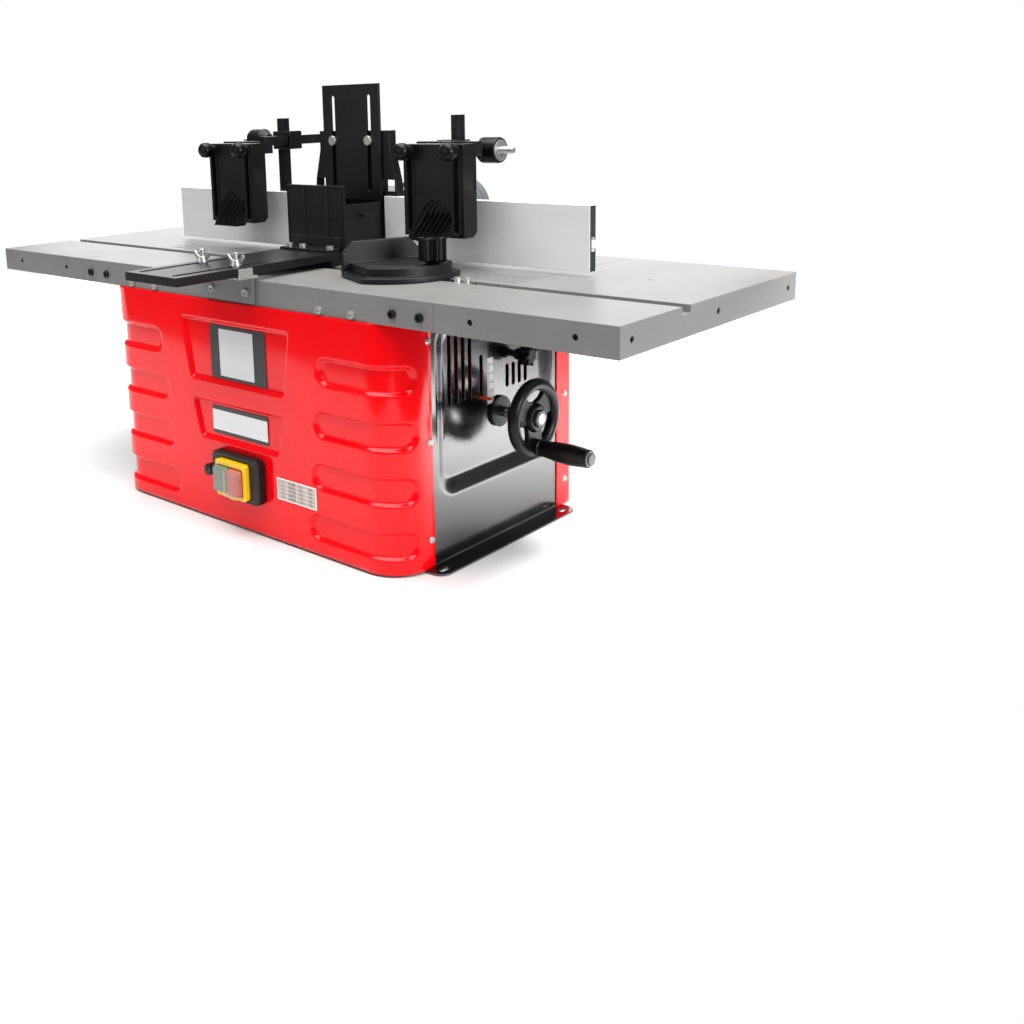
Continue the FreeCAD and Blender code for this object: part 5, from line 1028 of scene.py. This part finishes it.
# Grey moulding: plain and even, with a low satin gloss.
grey_abs = finish("grey_moulded_abs", ("#5E6062", "#686A6C"), (0.32, 0.44), 1.0, relief=0.015, drift=30.0)
softened("dust_port", 0.8, grey_abs)


# Fences: two drawn aluminium bars with a T slot at the back, held to the hood by bolts.

# Natural anodised aluminium: silver, with fine drawing lines along the bar.
fence_alloy = finish(
    "anodised_aluminium", ("#E2E3E4", "#E8E9E9"), (0.36, 0.46), 0.7, relief=0.004, drift=30.0,
    stretch=(0.05, 1, 1), Metallic=0.15)
# Sawn ends: bare, dull metal, coloured dark grey as painted shade on the bars' end faces.
sawn_and_shaded_alloy = finish("sawn_aluminium_and_shade", ("#2E2F30", "#3A3B3C"), (0.5, 0.65), 0.5, relief=0.02, Metallic=0.4)
for fence in ("left_fence", "right_fence"):
    bar = eased(fence, 0.6, fence_alloy)
    bar.materials.append(sawn_and_shaded_alloy)
    # Faces that look along the bar take the dark end finish: painted shade.
    for face in bar.polygons:
        if abs(face.normal.x) > 0.99:
            face.material_index = 1
    keep(f"{fence}_bar", bar, nodes[fence]["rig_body"], fence)
softened("fence_bolts", 0.7, zinc)


# Hold-downs: a square steel post in each fence slot, a clamp with a knob, and an arm
# over the fence that carries a moulded comb board on two knobs.

rib_tree, rib_in = new_tree("moulded_ribs", {"Width": "Float", "Rise": "Float", "Material": "Material"})
rib_size = add(rib_tree, "ShaderNodeCombineXYZ", {
    "X": rib_in["Width"], "Y": rib_in["Rise"], "Z": 1.0}).outputs[0]
rib_cube = add(rib_tree, "GeometryNodeMeshCube", {"Size": rib_size}).outputs[0]
rib_long = add(rib_tree, "GeometryNodeInputNamedAttribute", {"Name": "long"}, data_type="FLOAT").outputs[0]
rib_lean = add(rib_tree, "GeometryNodeInputNamedAttribute", {"Name": "lean"}, data_type="FLOAT").outputs[0]
rib_scale = add(rib_tree, "ShaderNodeCombineXYZ", {"X": 1.0, "Y": 1.0, "Z": rib_long}).outputs[0]
rib_angles = add(rib_tree, "ShaderNodeCombineXYZ", {"Y": rib_lean}).outputs[0]
rib_turn = add(rib_tree, "FunctionNodeEulerToRotation", {"Euler": rib_angles}).outputs[0]
rib_spots = add(rib_tree, "GeometryNodeInstanceOnPoints", {
    "Points": rib_in["Places"], "Instance": rib_cube, "Rotation": rib_turn, "Scale": rib_scale}).outputs[0]
end_tree(rib_tree, rib_spots, rib_in["Material"])


def ribbed(segments, face, width, rise, material):
    """Raised ribs between pairs of points in mm, on a face that looks to the front."""
    places = [row((x0 + x1) / 2, face - rise / 2 + OVERLAP, (z0 + z1) / 2) for x0, z0, x1, z1 in segments]
    return grown(
        rib_tree, places, {"Width": width * MM, "Rise": (rise + 2 * OVERLAP) * MM, "Material": material},
        long=[math.hypot(x1 - x0, z1 - z0) * MM for x0, z0, x1, z1 in segments],
        lean=[math.atan2(x1 - x0, z1 - z0) for x0, z0, x1, z1 in segments])


def threaded(start, end, radius, pitch=1.6, depth=0.55):
    """Radii and distances of a stud's thread, drawn coarser than the real one so that it shows."""
    profile, far, crest = [], start, True
    while far < end:
        profile.append((radius if crest else radius - depth, far))
        far, crest = far + pitch / 2, not crest
    return profile


# Machined aluminium: pale, with fine turning rings.
turned_alloy = finish("turned_aluminium", ("#A3A4A5", "#C2C3C4"), (0.3, 0.42), 0.6, relief=0.01, Metallic=0.8)
board_middle, board_face, slot_apart = 177.0, -26.0, 34
slot_half, slot_zs, rim_wall, rim_ys = 4, (350, 446), 2.4, (-27.2, -25.8)
crease_half, crease_z = 27, 398
comb_lean, comb_pitch, comb_low, comb_tip = math.radians(38), 7.2, 346.0, 339.4
comb_start, finger_width, tip_ys = -24.15, 3.1, (-25.0, -8.0)
tip_drift = (comb_low - comb_tip) * math.tan(comb_lean)
# The raised roof line over the fingers, in mm from the board's middle and above the bench.
roof_left, roof_apex, roof_right = (-25.0, 368.0), (-0.4, 390.0), (24.0, 375.0)
for side_name, side in (("left", -1), ("right", 1)):
    softened(f"{side_name}_post", 0.6, dark_steel)
    softened(f"{side_name}_clamp", 1.2, black_nylon)
    softened(f"{side_name}_arm", 0.6, dark_steel)

    knob_box = in_mm(f"{side_name}_clamp_knob")
    knob_at = (0, sum(knob_box[1]) / 2, sum(knob_box[2]) / 2)
    knob_body = [
        (3.9, 181.5), (8, 181.5), (9, 184), (14.4, 190.6), (15, 192), (15, 213.4), (14, 215.2), (12.4, 215.5),
        (12.4, 215), (3.9, 215)]
    knob_disc = [(3.9, 214.9), (12.2, 214.9), (12.2, 215.8), (11.4, 216.1), (3.9, 216.1)]
    stud = [(0, 159.3), (4, 159.3)] + threaded(163, 181.5, 4) + threaded(216, 233, 4)
    stud += [(3, 234.3), (0, 234.3)]
    knob_parts = []
    for profile, skin, edge, is_ring in (
            (knob_body, wheel_black, 0.4, True), (knob_disc, turned_alloy, 0.1, True),
            (stud, zinc, 0.05, False)):
        profile = [(radius, side * far) for radius, far in profile]
        knob_parts.append(rounded(turned(profile, "x", knob_at, ring=is_ring), edge, skin))
    keep(
        f"{side_name}_clamp_turning", merged(*knob_parts), f"{side_name}_clamp_knob",
        f"{side_name}_clamp_knob")

    centre = side * board_middle
    slot_xs = (centre - slot_apart, centre + slot_apart)
    knobs_box = in_mm(f"{side_name}_board_knobs")
    knobs = bmesh.new()
    for slot_x in slot_xs:
        turned([
            (0, -47.3), (4, -47.2), (7.4, -46.2), (9.3, -44.2), (10, -41.5), (10, -36), (9.2, -33.6),
            (7, -32.4), (6, -32), (6, -27.6), (3, -27.6), (3, knobs_box[1][1]), (0, knobs_box[1][1])],
            "y", (slot_x, 0, sum(knobs_box[2]) / 2), steps=40, shape=knobs)
    keep(
        f"{side_name}_knob_turnings", rounded(knobs, 0.2, wheel_black), f"{side_name}_arm",
        f"{side_name}_board_knobs")

    rims, tips = bmesh.new(), bmesh.new()
    for slot_x in slot_xs:
        outlines = []
        for wall in (rim_wall, 0):
            half = slot_half + wall
            outlines.append(outline_round(
                (slot_x - half, slot_x + half), (slot_zs[0] - wall, slot_zs[1] + wall), half))
        frame_block(*outlines, rim_ys, rims)
    fingers = []
    for i in range(-2, 6):
        x = centre + comb_start + comb_pitch * i
        if i < 5:
            prism([
                (comb_low + 2 * OVERLAP, x), (comb_low + 2 * OVERLAP, x + finger_width),
                (comb_tip, x + finger_width - tip_drift), (comb_tip, x - tip_drift)],
                "y", tip_ys, (0, 0, 0), tips)
        foot = (x + finger_width / 2 - centre, comb_low + 1)
        best = None
        for a, b in ((roof_left, roof_apex), (roof_apex, roof_right)):
            slope = (b[1] - a[1]) / (b[0] - a[0])
            rise_z = (a[1] + slope * (foot[0] - a[0]) - foot[1]) / (1 - slope * math.tan(comb_lean))
            top_x = foot[0] + rise_z * math.tan(comb_lean)
            if a[0] <= top_x <= b[0]:
                best = (top_x, foot[1] + rise_z)
        if best is None:
            best = (roof_right[0], foot[1] + (roof_right[0] - foot[0]) / math.tan(comb_lean))
        fingers.append((foot[0] + centre, foot[1], best[0] + centre, best[1]))
    roof = [
        (a[0] + centre, a[1], b[0] + centre, b[1])
        for a, b in ((roof_left, roof_apex), (roof_right, roof_apex))]
    board = bmesh.new()
    board.from_mesh(eased(f"{side_name}_featherboard", 0.8, black_nylon))
    kept = bmesh.ops.bisect_plane(
        board, geom=board.verts[:] + board.edges[:] + board.faces[:], dist=CUT_REACH,
        plane_co=row(0, 0, comb_low + OVERLAP), plane_no=(0, 0, -1), clear_outer=True)["geom_cut"]
    bmesh.ops.holes_fill(board, edges=[part for part in kept if isinstance(part, bmesh.types.BMEdge)])
    board_mesh = bpy.data.meshes.new("board")
    board.to_mesh(board_mesh)
    board.free()
    board_mesh.materials.append(black_nylon)
    board_parts = [
        board_mesh,
        rounded(rims, 0.4, black_nylon),
        rounded(tips, 0.5, black_nylon),
        ribbed(fingers, board_face, 1.4, 1.3, black_nylon),
        ribbed(roof, board_face, 1.6, 1.3, black_nylon),
        ribbed(
            [(centre - crease_half, crease_z, centre + crease_half, crease_z)], board_face, 1.2, 0.7,
            black_nylon),
    ]
    keep(f"{side_name}_comb_board", merged(*board_parts), f"{side_name}_board", f"{side_name}_featherboard")


# Front guard: a painted rail with zinc ears on the apron, a slotted base under two cast
# wing nuts, and a moulded shield with a ribbed face, bolted on by its bracket.

rail = eased("guard_rail", 0.5, table_grey)
rail.materials.append(zinc)
ear_side, stud_low = 46.0 * MM, 312.8 * MM
for face in rail.polygons:
    if abs(face.center.x) > ear_side or face.center.z > stud_low:
        face.material_index = 1
keep("guard_rail_plate", rail, "frame", "guard_rail")
softened("guard_base", 0.8, hood_nylon)

nut_boxes = in_mm("wing_nuts")
nut_low, nut_y = nut_boxes[2][0], sum(nut_boxes[1]) / 2
nut_xs, wing_half = (-30.0, 30.0), 1.2
hub_profile = [(3.1, 0), (6.5, 0), (6.2, 2.5), (4.8, 7), (3.1, 7)]
ear = [
    (3.5, 1.5), (7.5, 2.6), (12.4, 6.6), (15, 11.2), (14.4, 12.8), (12, 12.9), (8.6, 9.4), (5, 6.8),
    (3.5, 6.4)]
nut_parts = []
for nut_x in nut_xs:
    hub = turned(hub_profile, "z", (nut_x, nut_y, nut_low), steps=32, ring=True)
    nut_parts.append(rounded(hub, 0.4, zinc))
    wings = bmesh.new()
    for side in (-1, 1):
        prism([(z, side * x) for x, z in ear], "y", (-wing_half, wing_half), (nut_x, nut_y, nut_low), wings)
    nut_parts.append(rounded(wings, 0.5, zinc))
keep("wing_nut_castings", merged(*nut_parts), "frame", "wing_nuts")

shield_face, shield_half, shield_levels = -42.0, 48, (324.0, 361.0, 399.2)
upright_xs, upright_zs = (-48.4, 48.4), (312, 400)
shield_lines = [(-shield_half, z, shield_half, z) for z in shield_levels]
shield_lines += [(x, upright_zs[0], x, upright_zs[1]) for x in upright_xs]
shield_parts = [
    eased("guard_shield", 0.7, hood_nylon),
    ribbed(shield_lines, shield_face, 1.2, 0.8, hood_nylon),
]
keep("guard_shield_box", merged(*shield_parts), "front_guard", "guard_shield")
bolt_sizes = screw_values(zinc, Radius=4.4, Height=4.2, Shank=2.6, Length=3.0)
bolt_xs, bolt_y, bolt_top = (-36, -12, 36), -54, 329.6
bolt_spots = [row(x, bolt_y, bolt_top) for x in bolt_xs]
keep("shield_bolts", grown(cap_tree, bolt_spots, bolt_sizes, out=[(0, 0, 1)] * 3), "front_guard")


# Mitre gauge: a steel bar in the table's slot and a moulded head with a protractor
# step, an upright face and a lobed clamp knob.

softened("mitre_bar", 0.5, ground_steel)
stop_sizes = screw_values(zinc, Radius=3.6, Height=5.0, Shank=2.0, Length=3.0)
stop_top = 310.6
stop_spots = [row(243, -66, stop_top), row(253, -62, stop_top)]
keep("mitre_stop_screws", grown(cap_tree, stop_spots, stop_sizes, out=[(0, 0, 1)] * 2), "gauge_bar")
softened("mitre_head", 1.0, hood_nylon)
softened("mitre_knob", 1.5, wheel_black)


# Studio: a table of pale paper in a darker room before white, a broad overhead light, soft
# boxes behind, at the right and at the left, a narrow lamp on the paper, and the camera
# where the photographer stood.

floor_xs, floor_ys = (-2.2, 0.8), (-0.8, 2.0)
floor_mesh = bpy.data.meshes.new("floor")
floor_mesh.from_pydata([
    (floor_xs[0], floor_ys[0], 0), (floor_xs[1], floor_ys[0], 0),
    (floor_xs[1], floor_ys[1], 0), (floor_xs[0], floor_ys[1], 0)], [], [(0, 1, 2, 3)])
# Studio paper: pale, matt and even.
pale = finish("pale_studio_paper", ("#CCCCCC", "#D2D2D2"), (0.6, 0.7), 40.0, drift=400.0)
floor_mesh.materials.append(pale)
floor = placed("floor", floor_mesh)

world = bpy.data.worlds.new("studio")
bpy.context.scene.world = world
world.use_nodes = True
room = world.node_tree
direct = add(room, "ShaderNodeLightPath", {}).outputs["Is Camera Ray"]
tone = add(room, "ShaderNodeMix", {
    0: direct, 6: (0.16, 0.16, 0.165, 1), 7: (1, 1, 1, 1)}, data_type="RGBA").outputs[2]
room.links.new(tone, room.nodes["Background"].inputs[0])


def lamp(name, kind, place, aim, **settings):
    """Light of a kind that looks from a place at a point."""
    light = bpy.data.lights.new(name, kind)
    for setting, value in settings.items():
        setattr(light, setting, value)
    holder = placed(name, light)
    holder.location = place
    holder.rotation_euler = (Vector(aim) - Vector(place)).to_track_quat("-Z", "Y").to_euler()


for name, place, aim, width, height, power in (
        ("back_box", (-1.3, 1.5, 0.75), (0, 0, 0.3), 2.2, 1.3, 20),
        ("right_box", (1.9, -0.1, 0.8), (0.55, 0.2, 0), 0.9, 0.7, 30),
        ("left_box", (-0.8, -2.1, 0.8), (0, -0.2, 0.15), 1.5, 0.9, 6)):
    lamp(name, "AREA", place, aim, shape="RECTANGLE", size=width, size_y=height, energy=power)
lamp("overhead", "SUN", (0, 0, 0), (0.02, 0.05, -1.0), energy=7.2, angle=math.radians(75))
# The narrow lamp brightens the paper that the right panel's enamel mirrors.
lamp(
    "paper_wash", "SPOT", (1.6, 1.2, 1.6), (0.64, 0.36, 0), energy=1100, spot_size=math.radians(19),
    spot_blend=0.6, shadow_soft_size=0.2)
bpy.context.scene.view_settings.view_transform = "Standard"

camera_at = (0.990568, -0.961018, 0.493101)
yaw, pitch, roll = (math.radians(a) for a in (42.7545, -11.0272, -1.6784))
forward = Vector((-math.sin(yaw) * math.cos(pitch), math.cos(yaw) * math.cos(pitch), math.sin(pitch)))
right = Vector((math.cos(yaw), math.sin(yaw), 0))
up = right.cross(forward)
right, up = (
    right * math.cos(roll) + up * math.sin(roll), up * math.cos(roll) - right * math.sin(roll))
lens = bpy.data.cameras.new("camera")
lens.sensor_width = 36.0
lens.lens = 38.941
lens.shift_x, lens.shift_y = 0.11624, -0.18563
camera = placed("camera", lens)
camera.matrix_world = Matrix.Translation(camera_at) @ Matrix((right, up, -forward)).transposed().to_4x4()
bpy.context.scene.camera = camera
